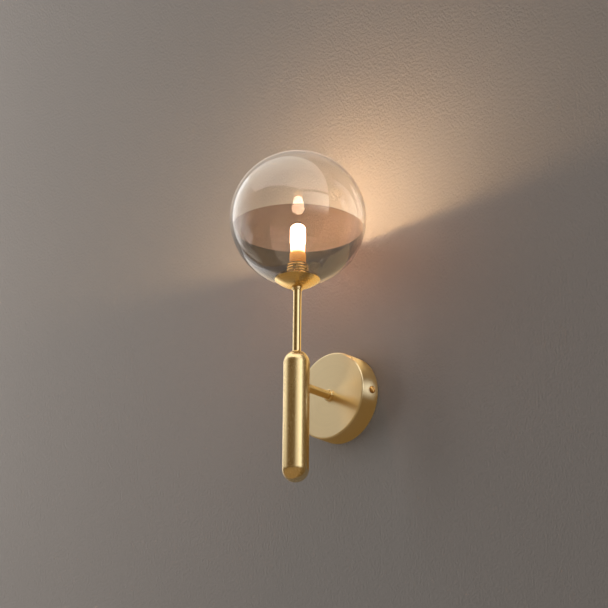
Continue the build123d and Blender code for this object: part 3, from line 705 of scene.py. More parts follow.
def zinc_steel():
    """Zinc-plated steel with a pale cloudy sheen."""
    return once(
        "zinc_steel", metal, (0.55, 0.55, 0.53), (0.75, 0.74, 0.70), 0.36, axis="arm",
        stretch=(0.3, 1.0, 1.0), fineness=1800.0, depth=0.00001, wear=0.5,
    )


def terminal_brass():
    """Plain turned brass of the terminals."""
    return once(
        "terminal_brass", metal, (0.66, 0.47, 0.20), (0.85, 0.70, 0.40), 0.30, grain="turned",
        fineness=3000.0, depth=0.00001,
    )


def tinned_copper():
    """Bright tinned surface."""
    return once(
        "tinned_copper", metal, (0.72, 0.71, 0.69), (0.70, 0.42, 0.26), 0.22, fineness=2200.0,
        depth=0.000008, wear=0.35,
    )


def threaded_steel(name, axis):
    """Zinc-plated hollow rod with a fine thread."""
    material, tree, shader, _ = new_material(name, Metallic=1.0)
    here = centred(tree, axis)
    thread = use_group(tree, "Fine thread", thread_group, {"Vector": here, "Pitch": 0.001})["Height"]
    touched = use_group(tree, "Handling", handling_group, {"Vector": here})
    # Painted shade: the roots of the thread are darker than its crests, as shade would fall in them.
    crest_vs_painted_root_shade = ramp_of(tree, thread, 0.05, 0.4)
    shown = blend_of(tree, crest_vs_painted_root_shade, opaque((0.30, 0.30, 0.28)), opaque((0.68, 0.67, 0.62)))
    gloss = math_of(tree, "MULTIPLY_ADD", touched["Smudges"], 0.12, 0.30)
    fill(shader, {"Base Color": shown, "Roughness": gloss})
    bump(tree, shader, thread, 0.0005)
    return material


def moulded(name, colour, roughness=0.4, texture=900.0, depth=0.00003, shade=0.06, **constants):
    """Moulded plastic, rubber or ceramic with a fine skin and a little variation."""
    material, tree, shader, _ = new_material(name, **constants)
    here = own_place(tree)
    touched = use_group(tree, "Handling", handling_group, {"Vector": here, "Smudge size": 90.0})
    worn_mask = use_group(tree, "Edge wear", edge_wear_group, {"Vector": here, "Amount": 0.5})["Mask"]
    tone = math_of(tree, "MULTIPLY_ADD", touched["Smudges"], -shade, 1.0)
    shown = toned(tree, opaque(colour), tone)
    lighter = opaque([0.5 + 0.5 * part for part in colour])
    shown = blend_of(tree, math_of(tree, "MULTIPLY", worn_mask, 0.35), shown, lighter)
    gloss = math_of(tree, "MULTIPLY_ADD", touched["Smudges"], 0.10, roughness)
    fill(shader, {"Base Color": shown, "Roughness": gloss})
    bump(tree, shader, noise_of(tree, here, texture, 4.0, 0.6), depth)
    return material


def striped_wire(name, first, second):
    """Two-colour insulation with a spiral stripe."""
    material, tree, shader, _ = new_material(name, Roughness=0.38)
    here = own_place(tree)
    inputs = {"Vector": here, "Scale": 90.0, "Distortion": 0.6}
    wave = put(tree, "ShaderNodeTexWave", inputs, bands_direction="DIAGONAL").outputs["Fac"]
    stripe = ramp_of(tree, wave, 0.48, 0.54)
    fill(shader, {"Base Color": blend_of(tree, stripe, opaque(first), opaque(second))})
    bump(tree, shader, noise_of(tree, here, 1400.0, 3.0), 0.00002)
    return material


def through_for_lamps(tree, shader, output):
    """Let the light of lamps straight through a glass material."""
    path = put(tree, "ShaderNodeLightPath").outputs["Is Shadow Ray"]
    clear = clear_of(tree, (0.97, 0.97, 0.96, 1.0))
    fill(output, {"Surface": mix_of(tree, path, shader.outputs["BSDF"], clear)})


def blown_glass(name):
    """Clear blown glass with the faint waves that blowing leaves."""
    material, tree, shader, output = new_material(
        name, Transmission_Weight=1.0, IOR=1.52, Base_Color=(0.985, 0.985, 0.975, 1.0)
    )
    here = centred(tree, "torch")
    inputs = {"Vector": here, "Smudge size": 30.0, "Speck size": 900.0}
    touched = use_group(tree, "Handling", handling_group, inputs)
    fill(shader, {"Roughness": math_of(tree, "MULTIPLY", touched["Specks"], 0.05)})
    bump(tree, shader, noise_of(tree, here, 16.0, 2.0), 0.0004, 0.12)
    through_for_lamps(tree, shader, output)
    return material


def film_radius(sizes):
    """Radius of the film's outer side, just inside the glass."""
    return GLOBE_R - sizes.glass_wall - FILM_GAP


def mirror_film(name, sizes, looks):
    """Half-silvered smoke film: grey as seen from inside the ball, and brown as seen from outside."""
    material, tree, shader, output = new_material(name, Metallic=1.0)
    here = mapped(tree, own_place(tree), Location=(0.0, -TORCH_Y, -GLOBE_Z))
    outer_side = math_of(tree, "GREATER_THAN", length_of(tree, here), film_radius(sizes) - FILM / 2)
    tone = ramp_of(tree, noise_of(tree, here, 26.0, 4.0, 0.55), 0.3, 0.7, 0.94, 1.04)
    skin = blend_of(tree, outer_side, opaque((0.95, 0.88, 0.76)), opaque((0.12, 0.12, 0.12)))
    specks = use_group(tree, "Handling", handling_group, {"Vector": here})["Specks"]
    gloss = math_of(tree, "MULTIPLY_ADD", specks, 0.08, 0.03)
    fill(shader, {"Base Color": toned(tree, skin, tone), "Roughness": gloss})
    facing = put(tree, "ShaderNodeLayerWeight", {"Blend": 0.3}).outputs["Facing"]
    rise = math_of(tree, "MULTIPLY_ADD", facing, 0.16, 0.06)
    share = math_of(tree, "MULTIPLY_ADD", outer_side, 0.12, rise)
    behind = put(tree, "ShaderNodeNewGeometry").outputs["Backfacing"]
    share = math_of(tree, "MULTIPLY", share, math_of(tree, "SUBTRACT", 1.0, behind))
    lamp_ray = put(tree, "ShaderNodeLightPath").outputs["Is Shadow Ray"]
    share = math_of(tree, "MULTIPLY", share, math_of(tree, "SUBTRACT", 1.0, lamp_ray))
    tint = blend_of(tree, outer_side, opaque(looks.film), opaque(looks.film_outside))
    tint = blend_of(tree, behind, tint, WHITE)
    tint = blend_of(tree, lamp_ray, tint, opaque((0.42, 0.33, 0.30)))
    fill(output, {"Surface": mix_of(tree, share, clear_of(tree, tint), shader.outputs["BSDF"])})
    return material


def lit_diffuser(name, looks):
    """Milky cover of the lit lamp, brightest where its light boards stand."""
    material, tree, shader, output = new_material(
        name, Roughness=0.3, Base_Color=(0.95, 0.93, 0.88, 1.0), Emission_Strength=looks.glow_strength
    )
    here = centred(tree, "torch")
    away = math_of(tree, "SUBTRACT", parts_of(tree, here)["Z"], LAMP_MIDDLE)
    fall = ramp_of(tree, math_of(tree, "ABSOLUTE", away), 0.006, 0.016, 1.0, 0.72)
    fill(shader, {"Emission Color": toned(tree, opaque(looks.glow), fall)})
    bump(tree, shader, noise_of(tree, here, 700.0, 3.0), 0.00002)
    through_for_lamps(tree, shader, output)
    return material


def lit_body(name, looks):
    """White lamp body that glows warm towards the cover."""
    material, tree, shader, _ = new_material(
        name, Roughness=0.28, Base_Color=(0.90, 0.86, 0.78, 1.0), Emission_Strength=looks.glow_strength * 0.55
    )
    here = centred(tree, "torch")
    rise = ramp_of(tree, parts_of(tree, here)["Z"], LAMP_LOW, LAMP_SEAM)
    low = opaque([part * factor for part, factor in zip(looks.glow, (0.16, 0.08, 0.035))])
    fill(shader, {"Emission Color": blend_of(tree, rise, low, opaque(looks.glow))})
    bump(tree, shader, noise_of(tree, here, 800.0, 3.0), 0.00001)
    return material


def circuit_board(name):
    """White lacquered board with faint copper tracks under the lacquer."""
    material, tree, shader, _ = new_material(name, Roughness=0.35)
    inputs = {"Vector": own_place(tree), "Scale": 700.0, "Mortar Size": 0.03}
    tracks = put(tree, "ShaderNodeTexBrick", inputs, offset=0.5).outputs["Fac"]
    shown = blend_of(tree, tracks, opaque((0.86, 0.86, 0.82)), opaque((0.62, 0.66, 0.50)))
    fill(shader, {"Base Color": shown})
    bump(tree, shader, tracks, 0.00002)
    return material


# Operators


class PieceOperator(bpy.types.Operator):
    """Common start of the operators that build pieces."""

    bl_options = {"REGISTER", "UNDO"}

    def execute(self, context):
        self.build(context.scene.torch_sizes, context.scene.torch_finishes)
        return {"FINISHED"}


class TORCH_OT_wall_plate(PieceOperator):
    """Build the round wall plate and its side screws"""

    bl_idname = "torch.wall_plate"
    bl_label = "Wall plate"

    def build(self, sizes, looks):
        edge = sizes.plate_edge
        front, back_face = PLATE_FRONT, PLATE_FRONT + SHEET
        corner = arc((PLATE_R - edge, front + edge), edge, -90, 0, 8)
        outline = [(HOLE_R, front), *corner, (PLATE_R, 0.0), (PLATE_R - SHEET, 0.0)]
        outline += [(PLATE_R - SHEET, back_face), (HOLE_R, back_face), (HOLE_R, front)]
        plate = turned("wall_plate", "arm", outline, WIDE_ROUND)
        finish(plate, "backplate_cup", self.plate_brass(looks), sizes.broken_edge)
        screw_brass = metal(
            "screw_brass", (0.66, 0.38, 0.13), looks.worn_brass, 0.2, axis="arm", grain="turned",
            fineness=3000.0, depth=0.000006,
        )
        dress("side_screws", screw_brass, sizes.broken_edge)

    def plate_brass(self, looks):
        """Satin brass with a dark line where the screws' heads shade the rim."""
        material = metal(
            "plate_brass", looks.pale_brass, looks.worn_brass, looks.satin * 1.2, axis="arm",
            grain="turned", wear=looks.wear, depth=0.000004, streak=0.02, spread=0.8, turn=0.25,
        )
        tree, shader = shader_of(material)
        here = own_place(tree)
        beside = mapped(tree, here, Location=(0.0, -SCREW_Y, 0.0), Scale=(0.0, 1.0, 1.0))
        near = ramp_of(tree, length_of(tree, beside), 0.0041, 0.0047, 1.0, 0.0)
        side = parts_of(tree, here)["X"]
        rim = math_of(tree, "GREATER_THAN", math_of(tree, "ABSOLUTE", side), PLATE_R * 0.9)
        shade = math_of(tree, "MULTIPLY", math_of(tree, "MULTIPLY", near, rim), 0.8)
        plain = shader.inputs["Base Color"].links[0].from_socket
        fill(shader, {"Base Color": blend_of(tree, shade, plain, opaque((0.10, 0.05, 0.02)))})
        return material


class TORCH_OT_wall_bracket(PieceOperator):
    """Build the steel bracket, its cable bush and the earth point"""

    bl_idname = "torch.wall_bracket"
    bl_label = "Wall bracket"

    def build(self, sizes, looks):
        steel = zinc_steel()
        dress("wall_bracket", steel, sizes.broken_edge * 1.6)
        rubber = moulded("black_rubber", (0.03, 0.03, 0.03), 0.6, shade=0.3)
        dress("cable_bush", rubber, sizes.broken_edge)
        dress("earth_screw", steel, sizes.broken_edge)
        dress("earth_washer", steel, sizes.broken_edge * 0.4)
        dress("earth_ring_terminal", tinned_copper(), sizes.broken_edge * 0.5)


class TORCH_OT_terminals(PieceOperator):
    """Build the terminal block with its brass tubes and screws"""

    bl_idname = "torch.terminals"
    bl_label = "Terminal block"

    def build(self, sizes, looks):
        soft = {"Subsurface_Weight": 0.15, "Subsurface_Scale": 0.002}
        nylon = moulded("white_nylon", (0.80, 0.80, 0.76), 0.42, **soft)
        dress("terminal_block", nylon, sizes.broken_edge)
        dress("terminal_inserts", terminal_brass(), sizes.broken_edge * 0.5)
        dress("terminal_screws", zinc_steel(), sizes.broken_edge * 0.5)
        dress("block_screws", zinc_steel(), sizes.broken_edge)


class TORCH_OT_wires(PieceOperator):
    """Build the three insulated wires"""

    bl_idname = "torch.wires"
    bl_label = "Wires"

    def build(self, sizes, looks):
        skin = {"texture": 1500.0, "depth": 0.00002}
        dress("lead_live", moulded("brown_wire", (0.14, 0.055, 0.02), 0.36, **skin))
        dress("lead_neutral", moulded("blue_wire", (0.03, 0.13, 0.42), 0.36, **skin))
        dress("earth_lead", striped_wire("green_yellow_wire", (0.10, 0.34, 0.06), (0.75, 0.62, 0.05)))


class TORCH_OT_arm(PieceOperator):
    """Build the arm, its rings and the hollow rods and nuts that hold it"""

    bl_idname = "torch.arm"
    bl_label = "Arm"

    def build(self, sizes, looks):
        brass = polished_brass(looks, "arm")
        inside_capsule = TORCH_Y + CAPSULE_R * 0.55
        tube = turned("arm_bar", "arm", ring(TUBE_BORE_R, TUBE_R, inside_capsule, PLATE_FRONT))
        fit_to_capsule(tube)
        finish(tube, "arm_tube", brass)
        self.collar(sizes, brass)
        outline = ring(TUBE_R, radius_of("arm_ferrule"), inside_capsule, highest("arm_ferrule").y)
        ferrule = turned("arm_end_ring", "arm", outline)
        fit_to_capsule(ferrule)
        finish(ferrule, "arm_ferrule", brass, sizes.broken_edge)
        thread = threaded_steel("threaded_steel_arm", "arm")
        for node in ("arm_rear_nipple", "arm_front_nipple"):
            dress(node, thread, sizes.broken_edge)
        for node in ("arm_washer", "arm_nut", "saddle_washer", "capsule_nut"):
            dress(node, zinc_steel(), sizes.broken_edge)

    def collar(self, sizes, brass):
        """Two-step ring, with its steps rounded by polishing."""
        low, high = lowest("arm_collar"), highest("arm_collar")
        radius = radius_of("arm_collar")
        step = high.y - COLLAR_STEP
        narrow = radius - COLLAR_INSET
        outline = [(TUBE_R, high.y), (radius, high.y), (radius, step), (narrow, step)]
        outline += [(narrow, low.y), (TUBE_R, low.y), (TUBE_R, high.y)]
        collar = turned("arm_collar_ring", "arm", outline)
        finish(collar, "arm_collar", brass, sizes.broken_edge * 2.2, 4)


class TORCH_OT_capsule(PieceOperator):
    """Build the long capsule from its tube and two plugs"""

    bl_idname = "torch.capsule"
    bl_label = "Capsule"

    def build(self, sizes, looks):
        brass = satin_brass(looks)
        bore = CAPSULE_R - SHEET
        outline = ring(bore, CAPSULE_R, CAPSULE_LOW, CAPSULE_HIGH)
        tube = turned("capsule_side", "torch", outline, WIDE_ROUND)
        drill(tube, "arm", HOLE_R, TORCH_Y, 0.0)
        finish(tube, "capsule_tube", brass, PLUG_EDGE, 1)

        roof = STEM_LOW - CAP_ROOF
        seat_edge = math.degrees(math.acos(TUBE_R / CAPSULE_R))
        outline = [(HOLE_R, roof), (HOLE_R, STEM_LOW), (TUBE_R, STEM_LOW)]
        outline += arc((0.0, CAPSULE_HIGH), CAPSULE_R, seat_edge, 0, 40)
        spigot = CAPSULE_HIGH - SPIGOT
        outline += [(bore, CAPSULE_HIGH), (bore, spigot), (CAP_BORE_R, spigot)]
        outline += [(CAP_BORE_R, roof), (HOLE_R, roof)]
        top = turned("capsule_top", "torch", outline, WIDE_ROUND)
        finish(top, "capsule_top_cap", brass, PLUG_EDGE, 1)

        low = CAPSULE_LOW
        outline = arc((0.0, low), CAPSULE_R, -90, 0, 48)
        outline += [(bore, low), (bore, low + SPIGOT), (CAP_BORE_R, low + SPIGOT)]
        outline += [(CAP_BORE_R, low - CAP_BORE_DEPTH), (0.0, low - CAP_BORE_DEPTH)]
        bottom = turned("capsule_bottom", "torch", outline, WIDE_ROUND)
        finish(bottom, "capsule_bottom_cap", brass, PLUG_EDGE, 1)


class TORCH_OT_stem(PieceOperator):
    """Build the stem, its ring and its hollow rods and nuts"""

    bl_idname = "torch.stem"
    bl_label = "Stem"

    def build(self, sizes, looks):
        brass = polished_brass(looks)
        stem = turned("stem_bar", "torch", ring(TUBE_BORE_R, TUBE_R, STEM_LOW, STEM_TOP))
        finish(stem, "stem_tube", brass, sizes.broken_edge)
        wide = radius_of("stem_collar")
        narrow = wide - STEM_INSET
        step = STEM_TOP + STEM_STEP
        outline = [(THREAD_R, STEM_TOP), (narrow, STEM_TOP), (narrow, step), (wide, step)]
        outline += [(wide, DISH_FLOOR), (THREAD_R, DISH_FLOOR), (THREAD_R, STEM_TOP)]
        collar = turned("stem_ring", "torch", outline)
        finish(collar, "stem_collar", brass, sizes.broken_edge * 2.0, 4)
        thread = threaded_steel("threaded_steel_torch", "torch")
        for node in ("stem_lower_nipple", "globe_nipple"):
            dress(node, thread, sizes.broken_edge)
        dress("stem_nut", zinc_steel(), sizes.broken_edge)


def dish_curve(wall=0.0):
    """Radius and centre height of the dish's round side, outside or inside its wall."""
    rise = DISH_RIM - DISH_FLOOR
    span = DISH_R**2 - DISH_FLAT_R**2
    centre = (DISH_RIM**2 - DISH_FLOOR**2 + span) / (2 * rise)
    radius = math.hypot(DISH_R, DISH_RIM - centre)
    return radius - wall, centre


def bowl(centre, radius, low_r, high_r, steps):
    """Points up a round bowl's side between two radii."""
    start = math.degrees(math.asin(low_r / radius))
    end = math.degrees(math.asin(high_r / radius))
    return arc((0.0, centre), radius, start - 90, end - 90, steps)


class TORCH_OT_dish(PieceOperator):
    """Build the shallow dish and the nut in it"""

    bl_idname = "torch.dish"
    bl_label = "Dish"

    def build(self, sizes, looks):
        outer, centre = dish_curve()
        inner, _ = dish_curve(SHEET)
        floor = DISH_FLOOR + SHEET
        inner_rim = math.sqrt(inner**2 - (DISH_RIM - centre) ** 2)
        inner_floor = math.sqrt(inner**2 - (floor - centre) ** 2)
        outline = [(HOLE_R, DISH_FLOOR), *bowl(centre, outer, DISH_FLAT_R, DISH_R, 36)]
        outline += reversed(bowl(centre, inner, inner_floor, inner_rim, 36))
        outline += [(HOLE_R, floor), (HOLE_R, DISH_FLOOR)]
        dish = turned("dish_bowl", "torch", outline, WIDE_ROUND)
        finish(dish, "globe_dish", dish_brass(looks), sizes.broken_edge * 1.5, 3)
        dress("dish_nut", zinc_steel(), sizes.broken_edge)


class TORCH_OT_sleeve(PieceOperator):
    """Build the threaded sleeve that the globe's neck screws on to"""

    bl_idname = "torch.sleeve"
    bl_label = "Threaded sleeve"

    def build(self, sizes, looks):
        pitch, depth = sizes.thread_pitch, sizes.thread_depth
        root = SLEEVE_R - depth
        foot = DISH_FLOOR + SHEET
        start = foot - 1.5 * pitch
        turns = math.ceil((SLEEVE_TOP - foot) / pitch) + 3
        wave = [(root, 0.0), (root, 0.4), (SLEEVE_R, 0.6), (SLEEVE_R, 0.8), (root, 1.0)]
        points = [Vector((radius, 0.0, start + share * pitch)) for radius, share in wave]
        sleeve = draw_outline("threaded_sleeve", points)
        close_mesh()
        apply_modifier(
            sleeve, "SCREW", angle=math.tau, screw_offset=pitch, iterations=turns,
            steps=ROUND, render_steps=ROUND, axis="Z", use_merge_vertices=False,
        )
        open_mesh(sleeve)
        bpy.ops.transform.translate(value=(0.0, TORCH_Y, 0.0))
        clean()
        self.trim(SLEEVE_TOP, 1.0)
        self.trim(foot, -1.0)
        clean()
        close_mesh()
        dish, centre = dish_curve(SHEET)
        wide = SLEEVE_R + SHEET
        under = [(0.0, DISH_FLOOR - SHEET), (wide, DISH_FLOOR - SHEET)]
        under += reversed(bowl(centre, dish, 0.0, wide, 16))
        cut(sleeve, turned("dish_shape", "torch", under))
        drill(sleeve, "torch", SLEEVE_BORE_R, DISH_FLOOR, SLEEVE_TOP - SLEEVE_ROOF)
        drill(sleeve, "torch", HOLE_R, DISH_FLOOR, SLEEVE_TOP + SHEET)
        finish(sleeve, "gallery_sleeve", self.brass_with_painted_glints(looks, pitch), sharp=30.0)

    def brass_with_painted_glints(self, looks, pitch):
        """Turned brass, with warm glints painted on as glow along the crests of the thread, in patches, where
        the lamp above would light them.
        """
        colour = (0.82, 0.66, 0.38)
        material = metal("sleeve_brass_painted_glints", colour, looks.worn_brass, 0.14, grain="turned", depth=0.000006)
        tree, shader = shader_of(material)
        here = centred(tree, "torch")
        thread = use_group(tree, "Fine thread", thread_group, {"Vector": here, "Pitch": pitch})["Height"]
        # Painted glints: the crests of the thread glow warm in patches, standing in for the lamp's light on
        # them.
        patches = ramp_of(tree, noise_of(tree, here, 130.0, 2.0), 0.40, 0.62)
        lit = math_of(tree, "MULTIPLY", ramp_of(tree, thread, 0.22, 0.42), patches)
        shown = blend_of(tree, lit, opaque((0.08, 0.05, 0.02)), opaque((1.9, 1.25, 0.42)))
        fill(shader, {"Emission Strength": 1.0, "Emission Color": shown})
        return material

    def trim(self, height, side):
        """Cut the open mesh level at a height and close it."""
        bpy.ops.mesh.select_all(action="SELECT")
        centre = (0.0, TORCH_Y, height)
        bpy.ops.mesh.bisect(plane_co=centre, plane_no=(0.0, 0.0, side), use_fill=True, clear_outer=True)


class TORCH_OT_lampholder(PieceOperator):
    """Build the lampholder, its bush and its contacts"""

    bl_idname = "torch.lampholder"
    bl_label = "Lampholder"

    def build(self, sizes, looks):
        dress("lampholder_bush", polished_brass(looks), sizes.broken_edge)
        dress("lampholder_body", self.ceramic(looks), sizes.broken_edge)
        dress("lampholder_contacts", terminal_brass(), sizes.broken_edge * 0.4)

    def ceramic(self, looks):
        """Unglazed ceramic, with a warm glow painted on all over, brightest in patches at the top, standing
        in for the lamp's light on it.
        """
        skin = {"texture": 600.0, "depth": 0.00006, "shade": 0.12}
        material = moulded("ceramic", (0.74, 0.56, 0.36), 0.55, Emission_Strength=1.0, **skin)
        tree, shader = shader_of(material)
        here = own_place(tree)
        # Painted glow: the whole ceramic emits warm light, strongest in patches towards the top, standing in
        # for the lamp's light falling on it.
        rise = ramp_of(tree, parts_of(tree, here)["Z"], HOLDER_LOW, HOLDER_TOP)
        patches = math_of(tree, "MULTIPLY", noise_of(tree, here, 160.0, 2.0), rise)
        shown = blend_of(tree, patches, opaque((0.60, 0.24, 0.03)), opaque((2.0, 1.10, 0.20)))
        fill(shader, {"Emission Color": shown})
        return material


class TORCH_OT_lamp(PieceOperator):
    """Build the lit capsule lamp"""

    bl_idname = "torch.lamp"
    bl_label = "Lamp"

    def build(self, sizes, looks):
        dress("bulb_pins", tinned_copper())
        board = circuit_board("circuit_board")
        dress("driver_board", board)
        dress("led_board", board)
        floor = LAMP_LOW + LAMP_FLOOR
        corner = (LAMP_BODY_R - LAMP_CORNER, LAMP_LOW + LAMP_CORNER)
        outline = [(0.0, LAMP_LOW), *arc(corner, LAMP_CORNER, -90, 0, 6)]
        outline += [(LAMP_BODY_R, LAMP_SEAM), (LAMP_BORE_R, LAMP_SEAM), (LAMP_BORE_R, floor), (0.0, floor)]
        body = turned("lamp_body", "torch", outline)
        finish(body, "bulb_body", lit_body("lamp_body_white", looks), LAMP_EDGE)

        inner_r = DIFFUSER_R - DIFFUSER_WALL
        inner_top = LAMP_TOP - DIFFUSER_WALL
        spigot = LAMP_SEAM - LAMP_SPIGOT
        outline = [(LAMP_BORE_R, spigot), (LAMP_BORE_R, LAMP_SEAM), (DIFFUSER_R, LAMP_SEAM)]
        outline += [*arc((DIFFUSER_R - DOME, LAMP_TOP - DOME), DOME, 0, 90, 16), (0.0, LAMP_TOP)]
        centre = (inner_r - INNER_DOME, inner_top - INNER_DOME)
        narrow, seat = LAMP_BORE_R - DIFFUSER_WALL, LAMP_SEAM + DIFFUSER_WALL
        shell = [(0.0, inner_top), *arc(centre, INNER_DOME, 90, 0, 16), (inner_r, seat)]
        shell += [(narrow, seat), (narrow, spigot), (LAMP_BORE_R, spigot)]
        cover = turned("lamp_cover", "torch", outline)
        self.line(cover, shell)
        finish(cover, "bulb_diffuser", lit_diffuser("lamp_diffuser_white", looks), COVER_EDGE, 3)

    def line(self, cover, shell):
        """Turn the cover's inside and join it to the outside."""
        inside = turned("cover_inside", "torch", shell)
        make_active(cover)
        inside.select_set(True)
        bpy.ops.object.join()
        open_mesh(cover)
        clean()
        close_mesh()


class TORCH_OT_globe(PieceOperator):
    """Build the glass globe, its mirror film and its seal"""

    bl_idname = "torch.globe"
    bl_label = "Globe"

    def build(self, sizes, looks):
        self.glass(sizes)
        self.film(sizes, looks)
        self.seal()

    def glass(self, sizes):
        """Blown ball with a thick ground lip round its neck."""
        inner = GLOBE_R - sizes.glass_wall
        neck = math.degrees(math.asin(NECK_R / GLOBE_R)) - 90
        lip_outer = math.degrees(math.asin(LIP_R / inner)) - 90
        outline = arc((0.0, GLOBE_Z), GLOBE_R, neck, 90, 120)
        outline += arc((0.0, GLOBE_Z), inner, 90, lip_outer, 112)
        outline += [(LIP_R, LIP_TOP), (NECK_R, LIP_TOP), outline[0]]
        globe = turned("glass_ball", "torch", outline, WIDE_ROUND)
        finish(globe, "glass_globe", blown_glass("clear_glass"), LIP_EDGE, 3, 60.0)

    def film(self, sizes, looks):
        """Film on the inside of the glass, up to a level edge."""
        outer = film_radius(sizes)
        inner = outer - FILM
        low = math.degrees(math.asin((LIP_R + LIP_EDGE) / outer)) - 90
        high = math.degrees(math.asin((FILM_EDGE - GLOBE_Z) / outer))
        outline = arc((0.0, GLOBE_Z), outer, low, high, 64)
        outline += arc((0.0, GLOBE_Z), inner, high, low, 64)
        film = turned("half_mirror", "torch", [*outline, outline[0]], WIDE_ROUND)
        finish(film, "mirror_coat", mirror_film("mirror_film", sizes, looks))

    def seal(self):
        """Soft ring, shaped to the dish below and to the glass above."""
        dish, centre = dish_curve(SHEET + RUNNING_GAP)
        ball = GLOBE_R + RUNNING_GAP
        steps = 8
        radii = [SEAL_BORE_R + (SEAL_R - SEAL_BORE_R) * i / steps for i in range(steps + 1)]
        under = [(r, centre - math.sqrt(dish**2 - r**2)) for r in radii]
        over = [(r, GLOBE_Z - math.sqrt(ball**2 - r**2)) for r in reversed(radii)]
        seal = turned("seal_ring", "torch", [*under, *over, under[0]])
        soft = {"Transmission_Weight": 0.4, "Subsurface_Weight": 0.2, "Subsurface_Scale": 0.002}
        silicone = moulded("clear_silicone", (0.75, 0.75, 0.72), 0.35, **soft)
        finish(seal, "globe_seal", silicone, SEAL_EDGE, 3)


